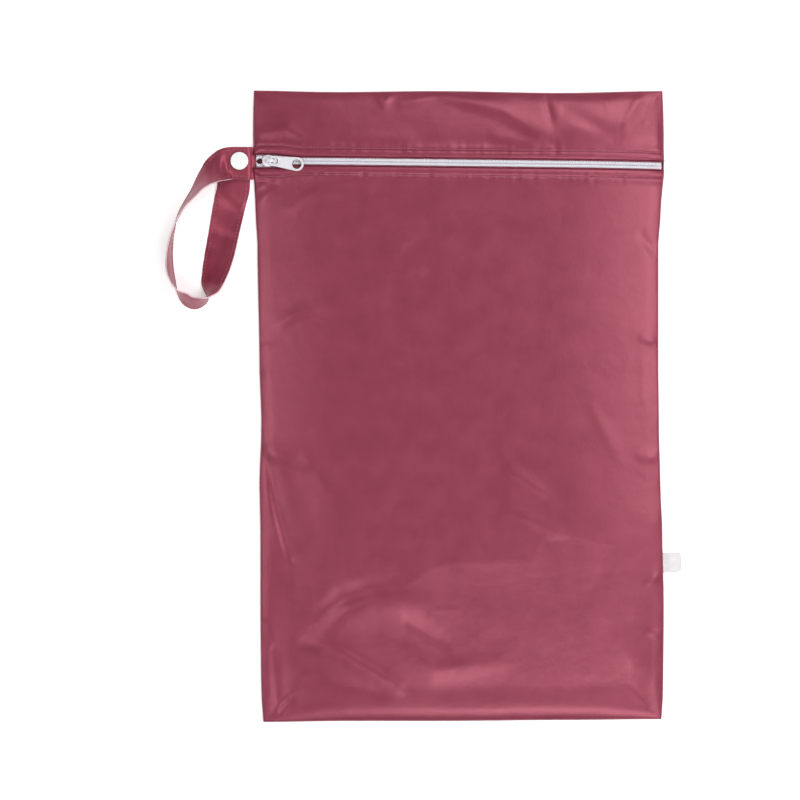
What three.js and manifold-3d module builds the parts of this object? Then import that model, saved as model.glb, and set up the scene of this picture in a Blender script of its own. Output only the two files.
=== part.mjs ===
import * as THREE from 'three';
import { mergeVertices } from 'three/addons/utils/BufferGeometryUtils.js';
import Module from 'manifold-3d';

const wasm = await Module();
wasm.setup();

// A cloth wet bag lying flat on its back, in millimetres.
// The origin is the middle of the back at floor level, with X to the right, Y towards the top hem and Z up.

// Bag
const bagWidth = 288;
const bagHeight = 442;
const clothWall = 1;
const clothEase = 0.35; // how far a wall's cut edge is eased
const gap = 0.3; // left between pieces that touch
const rollHeight = 3.2; // the turned seam's height over the back
const rollWidth = 3.6; // how far in from the edge the seam rounds over
const loft = 5.5; // how far the air inside lifts the front
const sideRise = 68; // how far in from a side seam the front stops rising
const topRise = 46;
const bottomRise = 118;
const gridStep = 15.5; // length of the front's facets

// Zip
const zipFromTop = 49.5; // at the left seam
const zipDrop = 3.5; // how much lower the zip meets the right seam
const zipInset = 1.9; // from the side seams to the ends of the tapes
const tapeWidth = 13;
const tapeThickness = 0.8;
const coilWidth = 2.4;
const coilHeight = 1.6;
const coilGap = 0.3; // between the two closed rows
const coilSpread = 1.9; // how far each row bows out in the open eye beside the slider
const lipClearance = 0.35; // from the coil or the slider to the folded cloth
const lipDepth = 6.4; // from the folded edge to its stitch line
const lipNose = 0.77; // how far in from its folded edge the lip rounds up to its full height
const lipFall = 1.9; // over which the lip falls to one layer at its stitch line
const lipBlend = 16; // over which the lips close up beside the slider
const nearStops = 12; // places of the zip's facets from its left end to just past the slider

// Slider
const sliderInset = 12.2; // from the left seam to the slider's middle
const sliderLength = 10.8;
const sliderNose = 8.7; // width where the rows part
const sliderTail = 7.2; // width where the rows leave together
const sliderPlate = 0.9;
const flangeWall = 0.6;
const postWidth = 1.5;
const postLength = 1.7;
const bridgeLength = 6.6;
const bridgeWidth = 2;
const bridgeWall = 0.9;
const bridgeRound = 1.3; // the rounding of its two shoulders

// Pull tab
const pullLength = 23.4; // from its hinge bar to the round end
const pullThickness = 1.5;
const pullEyeWidth = 6.7;
const pullEndWidth = 9.6;
const pullHole = 6.6;
const pullSlotWidth = 3.8;
const pullSlotLength = 5.2;
const pullBarInset = 0.75; // of the bar from the bridge's near leg
const pullSkew = 7.5; // degrees that the tab lies askew of the zip
const pullPitch = 3.2; // degrees that the tab drops onto the lips

// Strap
const strapWidth = 22.8;
const strapThickness = 1;
const strapRoot = 1.5; // how far the strap goes into the seam
const rootLift = 1.6; // of the strap's underside where it leaves the seam
const loopDrop = 101;
const loopReach = 46.2;
const strapTail = 6.8; // from the snap to the free end
const strapStep = 5;
const legFall = 18.6; // over which the leg comes down from the snap to the floor
const endFall = 22; // over which the free end climbs from the floor to the snap
const tipDepth = 0.8; // of the free end's rounded tip
const tipWidth = 17; // of its very end

// Snap
const snapOutset = 9.6; // from the side seam to the snap's axis
const snapAbove = 1.5; // from the strap's middle up to the snap's axis
const capWidth = 12.4;
const capThickness = 0.9;
const capDome = 0.5;
const ringWidth = 10.4;
const studBase = 0.5;
const studWidth = 5.6;
const studHeight = 0.9;
const socketHeight = 1.2;
const prongWidth = 2;
const snapGap = 0.2; // between the snap's pieces and the strap
const snapSides = 24;

// Label
const labelFromBottom = 111; // to the label's middle
const labelLength = 13.6; // along the seam
const labelReach = 12.6; // out of the seam
const labelWall = 0.6;
const labelSlit = 0.4; // between the label's two folded layers
const labelRoot = 1.5;
const labelCorner = 2;

// How far each side edge lies inside the full width, as shares of it, from the foot of the bag to its top.
const sideEdges = [
  { up: 0, left: 0.0236, right: 0.0066 },
  { up: 0.05, left: 0.018, right: 0.002 },
  { up: 0.185, left: 0.0163, right: 0.0005 },
  { up: 0.3, left: 0.0163, right: 0.0041 },
  { up: 0.376, left: 0.0139, right: 0.009 },
  { up: 0.471, left: 0.0187, right: 0.0125 },
  { up: 0.566, left: 0.0139, right: 0.0139 },
  { up: 0.756, left: 0.009, right: 0.0139 },
  { up: 0.813, left: 0.004, right: 0.0075 },
  { up: 0.87, left: 0, right: 0.0005 },
  { up: 0.946, left: -0.002, right: 0.0005 },
  { up: 1, left: 0.0005, right: 0.004 },
];

// How far the hems lie below or above the straight, as shares of the height, from left to right.
const hemEdges = [
  { across: 0, top: 0.0008, bottom: -0.0016 },
  { across: 0.2, top: -0.0016, bottom: 0 },
  { across: 0.45, top: 0, bottom: 0 },
  { across: 0.75, top: -0.003, bottom: 0.0016 },
  { across: 1, top: 0, bottom: 0.003 },
];

// Soft ridges and dents of the front, from one point to another. Places are shares of the bag's width
// and height from its lower left corner, the width is a share of the bag's width, the rise of the loft.
const folds = [
  { fromX: 0.02, fromY: 0.5, toX: 0.36, toY: 0.225, width: 0.05, rise: 0.2 },
  { fromX: 0.04, fromY: 0.38, toX: 0.1, toY: 0.25, width: 0.04, rise: -0.22 },
  { fromX: 0.38, fromY: 0.235, toX: 0.68, toY: 0.25, width: 0.05, rise: 0.16 },
  { fromX: 0.17, fromY: 0.21, toX: 0.33, toY: 0.2, width: 0.035, rise: -0.24 },
  { fromX: 0.13, fromY: 0.13, toX: 0.35, toY: 0.07, width: 0.035, rise: 0.22 },
  { fromX: 0.12, fromY: 0.07, toX: 0.36, toY: 0.045, width: 0.03, rise: -0.2 },
  { fromX: 0.61, fromY: 0.42, toX: 0.71, toY: 0.365, width: 0.04, rise: 0.24 },
  { fromX: 0.72, fromY: 0.31, toX: 0.9, toY: 0.265, width: 0.045, rise: 0.22 },
  { fromX: 0.75, fromY: 0.24, toX: 0.94, toY: 0.235, width: 0.05, rise: -0.18 },
  { fromX: 0.38, fromY: 0.17, toX: 0.47, toY: 0.115, width: 0.03, rise: -0.16 },
  { fromX: 0.12, fromY: 0.815, toX: 0.28, toY: 0.845, width: 0.035, rise: 0.14 },
  { fromX: 0.05, fromY: 0.11, toX: 0.06, toY: 0.02, width: 0.03, rise: -0.24 },
  { fromX: 0.45, fromY: 0.975, toX: 0.67, toY: 0.935, width: 0.035, rise: -0.18 },
];

// Stations of the strap past the snap: how far out and down its middle lies, as shares of the loop's
// reach and drop, and how it leans in degrees: 0 lies flat, 90 stands on edge, 180 lies turned over.
const strapStations = [
  { out: 0.21, down: 0.024, lean: 8 },
  { out: 0.33, down: 0.056, lean: 26 },
  { out: 0.42, down: 0.094, lean: 43 },
  { out: 0.51, down: 0.138, lean: 57 },
  { out: 0.62, down: 0.207, lean: 69 },
  { out: 0.85, down: 0.361, lean: 80 },
  { out: 0.975, down: 0.539, lean: 90 },
  { out: 1, down: 0.727, lean: 97 },
  { out: 0.96, down: 0.825, lean: 95 },
  { out: 0.885, down: 0.91, lean: 84 },
  { out: 0.79, down: 0.975, lean: 70 },
  { out: 0.675, down: 1, lean: 69 },
  { out: 0.605, down: 0.994, lean: 79 },
  { out: 0.545, down: 0.967, lean: 93 },
  { out: 0.43, down: 0.912, lean: 121 },
  { out: 0.34, down: 0.832, lean: 139 },
  { out: 0.225, down: 0.65, lean: 157 },
  { out: 0.145, down: 0.466, lean: 165 },
  { out: 0.06, down: 0.282, lean: 175 },
  { out: 0.01, down: 0.19, lean: 180 },
];

// Sizes that follow from those above
const seatHeight = clothWall + gap;
const halfStrap = strapWidth / 2;
const coilClosed = (coilGap + coilWidth) / 2;
const channelTop = coilHeight + gap;
const sliderTop = channelTop + sliderPlate;
const tapeUnder = gap + tapeThickness;
const barRadius = pullThickness / 2;
const barHeight = sliderTop + gap + barRadius;
const bridgeInside = barHeight + barRadius + gap - sliderTop;
const bridgeReach = bridgeLength / 2;
const barX = bridgeReach - bridgeWall - pullBarInset - barRadius;

const clamp = (value) => Math.min(Math.max(value, 0), 1);
const ease = (value) => clamp(value) ** 2 * (3 - 2 * clamp(value));
const mix = THREE.MathUtils.lerp;
const radians = THREE.MathUtils.degToRad;

// The value of one column of a table at a place along its first column, smooth from row to row.
function along(table, key, column, place) {
  let row = 0;
  while (row < table.length - 2 && place > table[row + 1][key]) row += 1;
  const from = table[row];
  const to = table[row + 1];
  const share = clamp((place - from[key]) / (to[key] - from[key]));
  return mix(from[column], to[column], ease(share));
}

// Edges of the bag in plan
const upOf = (y) => y / bagHeight + 0.5;
const acrossOf = (x) => x / bagWidth + 0.5;
const leftEdge = (y) => bagWidth * (along(sideEdges, 'up', 'left', upOf(y)) - 0.5);
const rightEdge = (y) => bagWidth * (0.5 - along(sideEdges, 'up', 'right', upOf(y)));
const topEdge = (x) => bagHeight * (0.5 + along(hemEdges, 'across', 'top', acrossOf(x)));
const bottomEdge = (x) => bagHeight * (along(hemEdges, 'across', 'bottom', acrossOf(x)) - 0.5);
const zipY = (x) => bagHeight / 2 - zipFromTop - zipDrop * acrossOf(x);
const zipLeft = leftEdge(zipY(-bagWidth / 2));
const zipRight = rightEdge(zipY(bagWidth / 2));
const sliderX = zipLeft + sliderInset;

// A point of the plan between two lines across the bag, at shares of the way to the right and up
function planPoint(column, row, lower, upper) {
  const guide = (column - 0.5) * bagWidth;
  const y = mix(lower(guide), upper(guide), row);
  return new THREE.Vector3(mix(leftEdge(y), rightEdge(y), column), y, 0);
}

// A quarter round over a width: 0 at its start, 1 where it ends
const quarterRound = (distance, width) => Math.sqrt(1 - (1 - clamp(distance / width)) ** 2);
const seamRound = (distance, start) => quarterRound(distance - start, rollWidth - start);
const swell = (distance, rise) => 1 - (1 - clamp(distance / rise)) ** 2;

function foldHeight(x, y) {
  let height = 0;
  for (const fold of folds) {
    const from = new THREE.Vector2((fold.fromX - 0.5) * bagWidth, (fold.fromY - 0.5) * bagHeight);
    const to = new THREE.Vector2((fold.toX - 0.5) * bagWidth, (fold.toY - 0.5) * bagHeight);
    const line = to.clone().sub(from);
    const share = clamp(new THREE.Vector2(x, y).sub(from).dot(line) / line.lengthSq());
    const distance = from.addScaledVector(line, share).distanceTo(new THREE.Vector2(x, y));
    height += fold.rise * loft * Math.exp(-((distance / (fold.width * bagWidth)) ** 2));
  }
  return height;
}

// Height of the front cloth over the floor at a point of the plan, of its outside or one wall further in
function clothHeight(x, y, wall) {
  const side = Math.min(x - leftEdge(y), rightEdge(y) - x);
  const below = y - bottomEdge(x);
  const above = topEdge(x) - y;
  const roll = seamRound(side, wall) * seamRound(Math.min(below, above), wall);
  const lift = swell(side, sideRise) * swell(below, bottomRise) * swell(above, topRise);
  const calm = ease(Math.min(side, below, above) / (4 * rollWidth)) * ease(Math.abs(y - zipY(x)) / tapeWidth);
  return seatHeight + (rollHeight - wall) * roll + loft * lift + foldHeight(x, y) * calm;
}

const inside = (x, y) => clothHeight(x, y, clothWall);

// The rows of coil run closed from the right seam to the slider, part round its post, bow out in the open
// eye and meet again at the left seam.
function coilOffset(x) {
  const nose = sliderX - sliderLength / 2;
  const parted = postWidth / 2 + gap - coilGap / 2;
  if (x > nose) return coilClosed + parted * ease((sliderX + sliderLength / 4 - x) / (sliderLength / 2));
  const eye = clamp((x - zipLeft - zipInset) / (nose - zipLeft - zipInset));
  return coilClosed + parted * eye + (coilSpread - parted / 2) * Math.sin(Math.PI * eye) * (1 - eye / 2);
}

// From the zip's middle to the folded edge of the cloth
function lipOffset(x) {
  const closed = coilClosed + coilWidth / 2 + lipClearance;
  const round = sliderNose / 2 + lipClearance;
  return mix(Math.max(round, closed), closed, ease((x - sliderX - sliderLength / 2) / lipBlend));
}

// Distances over a length: closer together where the cloth rolls over a seam, even between.
function stops(length, startStops, endStops) {
  const first = startStops.at(-1);
  const last = length - endStops.at(-1);
  const count = Math.max(2, Math.round((last - first) / gridStep));
  const even = Array.from({ length: count - 1 }, (_, i) => mix(first, last, (i + 1) / count));
  return [...startStops, ...even, ...endStops.map((stop) => length - stop).reverse()];
}

const rollStops = [0, 22.5, 45, 67.5, 90].map((angle) => rollWidth * (1 - Math.cos(radians(angle))));
const lipStops = [0, lipNose, lipDepth / 2, lipDepth - lipFall / 2, lipDepth, 1.5 * lipDepth];

// The folded lip is two layers thick and falls back to one at its stitch line.
function lipRise(distance) {
  const stitch = ease((lipDepth - distance) / lipFall);
  return mix(clothEase, clothWall, quarterRound(distance, lipNose)) * stitch;
}

// A closed wall between two grids of points, each quad split along the diagonal that points to the grid's
// middle, on both sides of the wall alike. Seen from the top grid, columns run to the right and rows up.
function wallBetween(top, under) {
  const rows = top.length;
  const columns = top[0].length;
  const positions = [top, under].flat(2).flatMap((point) => point.toArray());
  const at = (layer, row, column) => (layer * rows + row) * columns + column;
  const faces = [];
  const quad = (a, b, c, d, swap = false) => faces.push(...(swap ? [a, b, d, b, c, d] : [a, b, c, a, c, d]));
  for (let r = 0; r < rows - 1; r += 1) {
    for (let c = 0; c < columns - 1; c += 1) {
      const swap = 2 * c < columns - 1 !== 2 * r < rows - 1;
      quad(at(0, r, c), at(0, r, c + 1), at(0, r + 1, c + 1), at(0, r + 1, c), swap);
      quad(at(1, r, c), at(1, r + 1, c), at(1, r + 1, c + 1), at(1, r, c + 1), swap);
    }
    quad(at(0, r, 0), at(0, r + 1, 0), at(1, r + 1, 0), at(1, r, 0));
    quad(at(1, r, columns - 1), at(1, r + 1, columns - 1), at(0, r + 1, columns - 1), at(0, r, columns - 1));
  }
  for (let c = 0; c < columns - 1; c += 1) {
    quad(at(1, 0, c), at(1, 0, c + 1), at(0, 0, c + 1), at(0, 0, c));
    quad(at(0, rows - 1, c), at(0, rows - 1, c + 1), at(1, rows - 1, c + 1), at(1, rows - 1, c));
  }
  return closedGeometry(positions, faces);
}

// A closed body through rings of points, each ring running round the way that the rings follow.
function loftThrough(rings) {
  const sides = rings[0].length;
  const positions = rings.flat().flatMap((point) => point.toArray());
  const last = (rings.length - 1) * sides;
  const faces = [];
  for (let r = 0; r < rings.length - 1; r += 1) {
    for (let s = 0; s < sides; s += 1) {
      const here = r * sides + s;
      const next = r * sides + ((s + 1) % sides);
      faces.push(here, next, next + sides, here, next + sides, here + sides);
    }
  }
  for (let s = 1; s < sides - 1; s += 1) {
    faces.push(0, s + 1, s, last, last + s, last + s + 1);
  }
  return closedGeometry(positions, faces);
}

function closedGeometry(positions, faces) {
  const geometry = new THREE.BufferGeometry();
  geometry.setAttribute('position', new THREE.Float32BufferAttribute(positions, 3));
  geometry.setIndex(faces);
  geometry.computeVertexNormals();
  return geometry;
}

function solidOf(geometry) {
  const bare = geometry.clone();
  bare.deleteAttribute('normal');
  bare.deleteAttribute('uv');
  const merged = mergeVertices(bare);
  const vertProperties = new Float32Array(merged.getAttribute('position').array);
  const triVerts = new Uint32Array(merged.getIndex().array);
  return new wasm.Manifold(new wasm.Mesh({ numProp: 3, vertProperties, triVerts }));
}

function geometryOf(solid) {
  const { vertProperties, triVerts } = solid.getMesh();
  return closedGeometry(Array.from(vertProperties), Array.from(triVerts));
}

function box(fromX, toX, fromY, toY, fromZ, toZ) {
  const geometry = new THREE.BoxGeometry(toX - fromX, toY - fromY, toZ - fromZ);
  return geometry.translate((fromX + toX) / 2, (fromY + toY) / 2, (fromZ + toZ) / 2);
}

function plate(shape, fromZ, toZ, bevel = 0, curveSegments = 6) {
  const geometry = new THREE.ExtrudeGeometry(shape, {
    depth: toZ - fromZ - 2 * bevel,
    bevelEnabled: bevel > 0,
    bevelSize: bevel,
    bevelThickness: bevel,
    bevelOffset: -bevel,
    bevelSegments: 1,
    curveSegments,
  });
  return geometry.translate(0, 0, fromZ + bevel);
}

// An upright turned body from a closed outline of radius and height pairs
function turned(outline, sides = snapSides) {
  const points = outline.map(([radius, height]) => new THREE.Vector2(radius, height));
  return new THREE.LatheGeometry([...points, points[0]], sides).rotateX(Math.PI / 2);
}

const looks = {
  cloth: { color: 0x96485a, roughness: 0.45, metalness: 0 },
  tape: { color: 0xf2f1f5, roughness: 0.7, metalness: 0 },
  coil: { color: 0xf1f0f6, roughness: 0.4, metalness: 0 },
  lacquer: { color: 0xf4f4f6, roughness: 0.3, metalness: 0 },
  plastic: { color: 0xf7f8f7, roughness: 0.2, metalness: 0 },
  ribbon: { color: 0xf3f3f3, roughness: 0.6, metalness: 0 },
};

function piece(name, geometry, look) {
  const mesh = new THREE.Mesh(geometry, new THREE.MeshStandardMaterial(look));
  mesh.name = name;
  return mesh;
}

// Back: flat where the bag lies on it, its edge eased
function backPanel() {
  const columns = stops(bagWidth, [0], [0]).map((stop) => stop / bagWidth);
  const rows = stops(bagHeight, [0], [0]).map((stop) => stop / bagHeight);
  const edge = (column, row) => planPoint(column, row, bottomEdge, topEdge);
  const outline = [
    ...columns.slice(0, -1).map((column) => edge(column, 0)),
    ...rows.slice(0, -1).map((row) => edge(1, row)),
    ...columns.slice(1).reverse().map((column) => edge(column, 1)),
    ...rows.slice(1).reverse().map((row) => edge(0, row)),
  ];
  const shape = new THREE.Shape(outline.map(({ x, y }) => new THREE.Vector2(x, y)));
  return piece('back_panel', plate(shape, 0, clothWall, clothEase), looks.cloth);
}

// The cloth between two lines across the bag, its outside from the seam's very edge and its inside from
// one wall further in
function frontCloth(lower, upper, startStops, endStops) {
  const columns = stops(bagWidth, rollStops, rollStops).map((stop) => stop / bagWidth);
  const upStops = stops(upper(0) - lower(0), startStops, endStops);
  const rows = upStops.map((stop) => stop / upStops.at(-1));
  const grid = (wall, lip) => rows.map((row) =>
    columns.map((column) => {
      const place = planPoint(column, row, lower, upper);
      const side = Math.min(place.x - leftEdge(place.y), rightEdge(place.y) - place.x);
      const hem = Math.min(place.y - bottomEdge(place.x), topEdge(place.x) - place.y);
      const beyondZip = Math.abs(place.y - zipY(place.x)) - lipOffset(place.x);
      place.x += wall * (1 - clamp(side / rollWidth)) * Math.sign(0.5 - column);
      place.y += wall * (1 - clamp(hem / rollWidth)) * Math.sign(-place.y);
      const height = clothHeight(place.x, place.y, wall);
      return place.setZ(height + (lip ? lipRise(beyondZip) : 0));
    }),
  );
  return wallBetween(grid(0, true), grid(clothWall, false));
}

// The furthest that the side seam stands out along the strap
function strapSeam() {
  const middle = zipY(zipLeft) - snapAbove;
  return Math.min(...[-halfStrap, 0, halfStrap].map((offset) => leftEdge(middle + offset)));
}

// The openings in the seam through which the strap and the label leave
function strapSlot() {
  const y = zipY(zipLeft) - snapAbove;
  const half = halfStrap + gap;
  const top = rootLift + strapThickness + gap;
  return box(zipLeft - rollWidth, zipLeft + strapRoot + gap, y - half, y + half, 0, top);
}

function labelSlot() {
  const y = labelFromBottom - bagHeight / 2;
  const x = rightEdge(y);
  const half = labelLength / 2 + gap;
  const top = seatHeight + 2 * labelWall + labelSlit + gap;
  return box(x - labelRoot - gap, x + rollWidth, y - half, y + half, 0, top);
}

function frontPanel() {
  const cloth = frontCloth(bottomEdge, (x) => zipY(x) - lipOffset(x), rollStops, lipStops);
  const cut = solidOf(cloth).subtract(solidOf(strapSlot())).subtract(solidOf(labelSlot()));
  return piece('front_panel', geometryOf(cut), looks.cloth);
}

function topPanel() {
  const cloth = frontCloth((x) => zipY(x) + lipOffset(x), topEdge, lipStops, rollStops);
  const cut = solidOf(cloth).subtract(solidOf(strapSlot()));
  return piece('top_panel', geometryOf(cut), looks.cloth);
}

// Places along the zip, closer together beside the slider
function zipStops() {
  const from = zipLeft + zipInset;
  const to = zipRight - zipInset;
  const eye = sliderX + sliderLength;
  const near = Array.from({ length: nearStops }, (_, i) => mix(from, eye, i / nearStops));
  const count = Math.round((to - eye) / gridStep);
  const far = Array.from({ length: count }, (_, i) => mix(eye, to - rollWidth, i / (count - 1)));
  return [...near, ...far, to - rollWidth / 2, to];
}

// A woven tape under the lip, on the upper side of the zip (1) or the lower one (-1)
function zipTape(name, side) {
  const across = [0, 0.3, 0.65, 1];
  const rows = (side > 0 ? across : [...across].reverse()).map((share) => zipStops().map((x) => {
    const inner = Math.max(coilOffset(x) - coilWidth / 4, postWidth / 2 + gap);
    const y = zipY(x) + side * mix(inner, tapeWidth, share);
    return new THREE.Vector3(x, y, inside(x, y) - gap);
  }));
  const under = rows.map((row) => row.map((point) => point.clone().setZ(point.z - tapeThickness)));
  return piece(name, wallBetween(rows, under), looks.tape);
}

// A row of coil, a flattened round bar with its flat side on the tape
function zipCoil(name, side) {
  const profile = [
    { across: -1, up: 0.3 },
    { across: -0.7, up: 0 },
    { across: 0.7, up: 0 },
    { across: 1, up: 0.3 },
    { across: 0.9, up: 0.75 },
    { across: 0.4, up: 1 },
    { across: -0.4, up: 1 },
    { across: -0.9, up: 0.75 },
  ];
  const rings = zipStops().map((x) => {
    const y = zipY(x) + side * coilOffset(x);
    const base = inside(x, zipY(x));
    return profile.map(({ across, up }) => {
      return new THREE.Vector3(x, y + (across * coilWidth) / 2, base + up * coilHeight);
    });
  });
  return piece(name, loftThrough(rings), looks.coil);
}

// Plan of the slider's plates, wide at the nose where the rows part
function sliderOutline() {
  const nose = sliderNose / 2;
  const tail = sliderTail / 2;
  const half = sliderLength / 2;
  const shape = new THREE.Shape();
  shape.moveTo(-half, -nose * 0.5);
  shape.quadraticCurveTo(-half, -nose, -half * 0.45, -nose);
  shape.quadraticCurveTo(half * 0.1, -nose, half * 0.4, -tail);
  shape.lineTo(half * 0.75, -tail);
  shape.quadraticCurveTo(half, -tail, half, -tail * 0.6);
  shape.lineTo(half, tail * 0.6);
  shape.quadraticCurveTo(half, tail, half * 0.75, tail);
  shape.lineTo(half * 0.4, tail);
  shape.quadraticCurveTo(half * 0.1, nose, -half * 0.45, nose);
  shape.quadraticCurveTo(-half, nose, -half, nose * 0.5);
  shape.closePath();
  return shape;
}

// Plan of the channel that the rows run through, open at both ends of the slider
function channelOutline() {
  const nose = sliderNose / 2 - flangeWall;
  const tail = sliderTail / 2 - flangeWall;
  const half = sliderLength / 2;
  const shape = new THREE.Shape();
  shape.moveTo(-half - gap, -nose);
  shape.lineTo(-half * 0.3, -nose);
  shape.lineTo(half * 0.4, -tail);
  shape.lineTo(half + gap, -tail);
  shape.lineTo(half + gap, tail);
  shape.lineTo(half * 0.4, tail);
  shape.lineTo(-half * 0.3, nose);
  shape.lineTo(-half - gap, nose);
  shape.closePath();
  return shape;
}

// The bridge that the pull's bar turns under, drawn from the side
function bridgeSolid() {
  const shape = new THREE.Shape();
  const foot = sliderTop - sliderPlate / 2;
  const inner = sliderTop + bridgeInside;
  const crown = inner + bridgeWall;
  const innerReach = bridgeReach - bridgeWall;
  shape.moveTo(-bridgeReach, foot);
  shape.lineTo(-innerReach, foot);
  shape.lineTo(-innerReach, inner - bridgeWall / 2);
  shape.quadraticCurveTo(-innerReach, inner, -innerReach + bridgeWall / 2, inner);
  shape.lineTo(innerReach - bridgeWall / 2, inner);
  shape.quadraticCurveTo(innerReach, inner, innerReach, inner - bridgeWall / 2);
  shape.lineTo(innerReach, foot);
  shape.lineTo(bridgeReach, foot);
  shape.lineTo(bridgeReach, crown - bridgeRound);
  shape.quadraticCurveTo(bridgeReach, crown, bridgeReach - bridgeRound, crown);
  shape.lineTo(-bridgeReach + bridgeRound, crown);
  shape.quadraticCurveTo(-bridgeReach, crown, -bridgeReach, crown - bridgeRound);
  shape.closePath();
  const upright = plate(shape, -bridgeWidth / 2, bridgeWidth / 2, bridgeWall / 4, 3);
  return solidOf(upright.rotateX(Math.PI / 2));
}

// Slider in its own frame: X along the zip, the rows of coil standing on its Z = 0
function zipSlider() {
  const postFrom = -sliderLength / 2 + postLength / 2;
  const halfPost = postWidth / 2;
  const foot = sliderTop - sliderPlate / 2;
  const baseTop = -tapeUnder - gap;
  const shell = solidOf(plate(sliderOutline(), 0, sliderTop, sliderPlate / 4, 4));
  const channel = solidOf(plate(channelOutline(), -gap, channelTop));
  const base = solidOf(plate(sliderOutline(), baseTop - sliderPlate, baseTop, 0, 4));
  const post = box(postFrom, postFrom + postLength, -halfPost, halfPost, baseTop - sliderPlate / 2, foot);
  const solid = shell.subtract(channel).add(base).add(solidOf(post)).add(bridgeSolid());
  return piece('zip_slider', geometryOf(solid), looks.lacquer);
}

// Pull tab in its own frame: its bar along Y through the origin, the tab towards +X
function zipPull() {
  const eye = pullEyeWidth / 2;
  const end = pullEndWidth / 2;
  const endX = pullLength - end;
  const slot = pullSlotWidth / 2;
  const turn = Math.asin((end - eye) / endX);
  const outline = new THREE.Shape();
  outline.moveTo(0, -eye);
  outline.absarc(endX, 0, end, -Math.PI / 2 - turn, Math.PI / 2 + turn, false);
  outline.lineTo(0, eye);
  outline.lineTo(0, slot);
  outline.lineTo(pullSlotLength - slot * 0.7, slot);
  outline.quadraticCurveTo(pullSlotLength, slot, pullSlotLength, 0);
  outline.quadraticCurveTo(pullSlotLength, -slot, pullSlotLength - slot * 0.7, -slot);
  outline.lineTo(0, -slot);
  outline.closePath();
  const hole = new THREE.Path();
  hole.absarc(endX, 0, pullHole / 2, 0, 2 * Math.PI, true);
  outline.holes.push(hole);
  const tab = solidOf(plate(outline, -barRadius, barRadius, barRadius / 3));
  const bar = solidOf(new THREE.CylinderGeometry(barRadius, barRadius, pullEyeWidth, 12));
  return piece('zip_pull', geometryOf(tab.add(bar)), looks.lacquer);
}

// The slider sits on the zip, turned with it and tipped with the slope of the cloth.
function sliderGroup() {
  const group = new THREE.Group();
  const step = sliderLength / 2;
  const point = (x) => new THREE.Vector3(x, zipY(x), inside(x, zipY(x)));
  const forward = point(sliderX + step).sub(point(sliderX - step)).normalize();
  const sideways = new THREE.Vector3(0, 0, 1).cross(forward).normalize();
  const up = forward.clone().cross(sideways);
  group.quaternion.setFromRotationMatrix(new THREE.Matrix4().makeBasis(forward, sideways, up));
  group.position.copy(point(sliderX));
  const pull = zipPull();
  pull.position.set(barX, 0, barHeight);
  pull.rotation.set(0, radians(pullPitch), radians(-pullSkew), 'ZYX');
  group.add(zipSlider(), pull);
  return group;
}

const snapX = zipLeft - snapOutset;
const snapY = zipY(zipLeft);
const endBottom = capThickness + snapGap;
const studBottom = endBottom + strapThickness + snapGap;
const socketBottom = studBottom + studBase + snapGap;
const legBottom = socketBottom + socketHeight + snapGap;
const capBottom = legBottom + strapThickness + snapGap;

// Route of the strap's middle, from inside the seam round the loop to its free end, which stays clear of the
// leg's slope up to the snap. Z holds how far the strap's lower side is lifted off the floor there.
function strapRoute() {
  const middleY = snapY - snapAbove;
  const capReach = capWidth / 2;
  const slope = mix(strapSeam() - gap, snapX + capReach, 0.5);
  const endX = Math.min(snapX, slope - gap - halfStrap);
  const station = (x, y, lift, lean) => ({ place: new THREE.Vector3(x, y, lift), lean });
  const stations = strapStations.map(({ out, down, lean }) => {
    const reach = out * loopReach;
    const drop = down * loopDrop;
    const leaving = lean < 90 ? legBottom * ease((legFall + capReach / 2 - reach) / legFall) : 0;
    const arriving = lean > 90 ? endBottom * ease((endFall + capWidth - drop) / endFall) : 0;
    return station(mix(snapX, endX, lean / 180) - reach, snapY - drop, leaving + arriving, lean);
  });
  return [
    station(zipLeft + strapRoot, middleY, rootLift, 0),
    station(strapSeam() - gap, middleY, rootLift, 0),
    station(slope, middleY, mix(rootLift, legBottom, 0.5), 0),
    station(snapX + capReach, middleY, legBottom, 0),
    station(snapX, middleY, legBottom, 0),
    station(snapX - capReach, middleY, legBottom, 0),
    ...stations,
    station(endX, snapY - capReach, endBottom, 180),
    station(endX, snapY, endBottom, 180),
    station(endX, snapY + strapTail, endBottom, 180),
  ];
}

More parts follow.
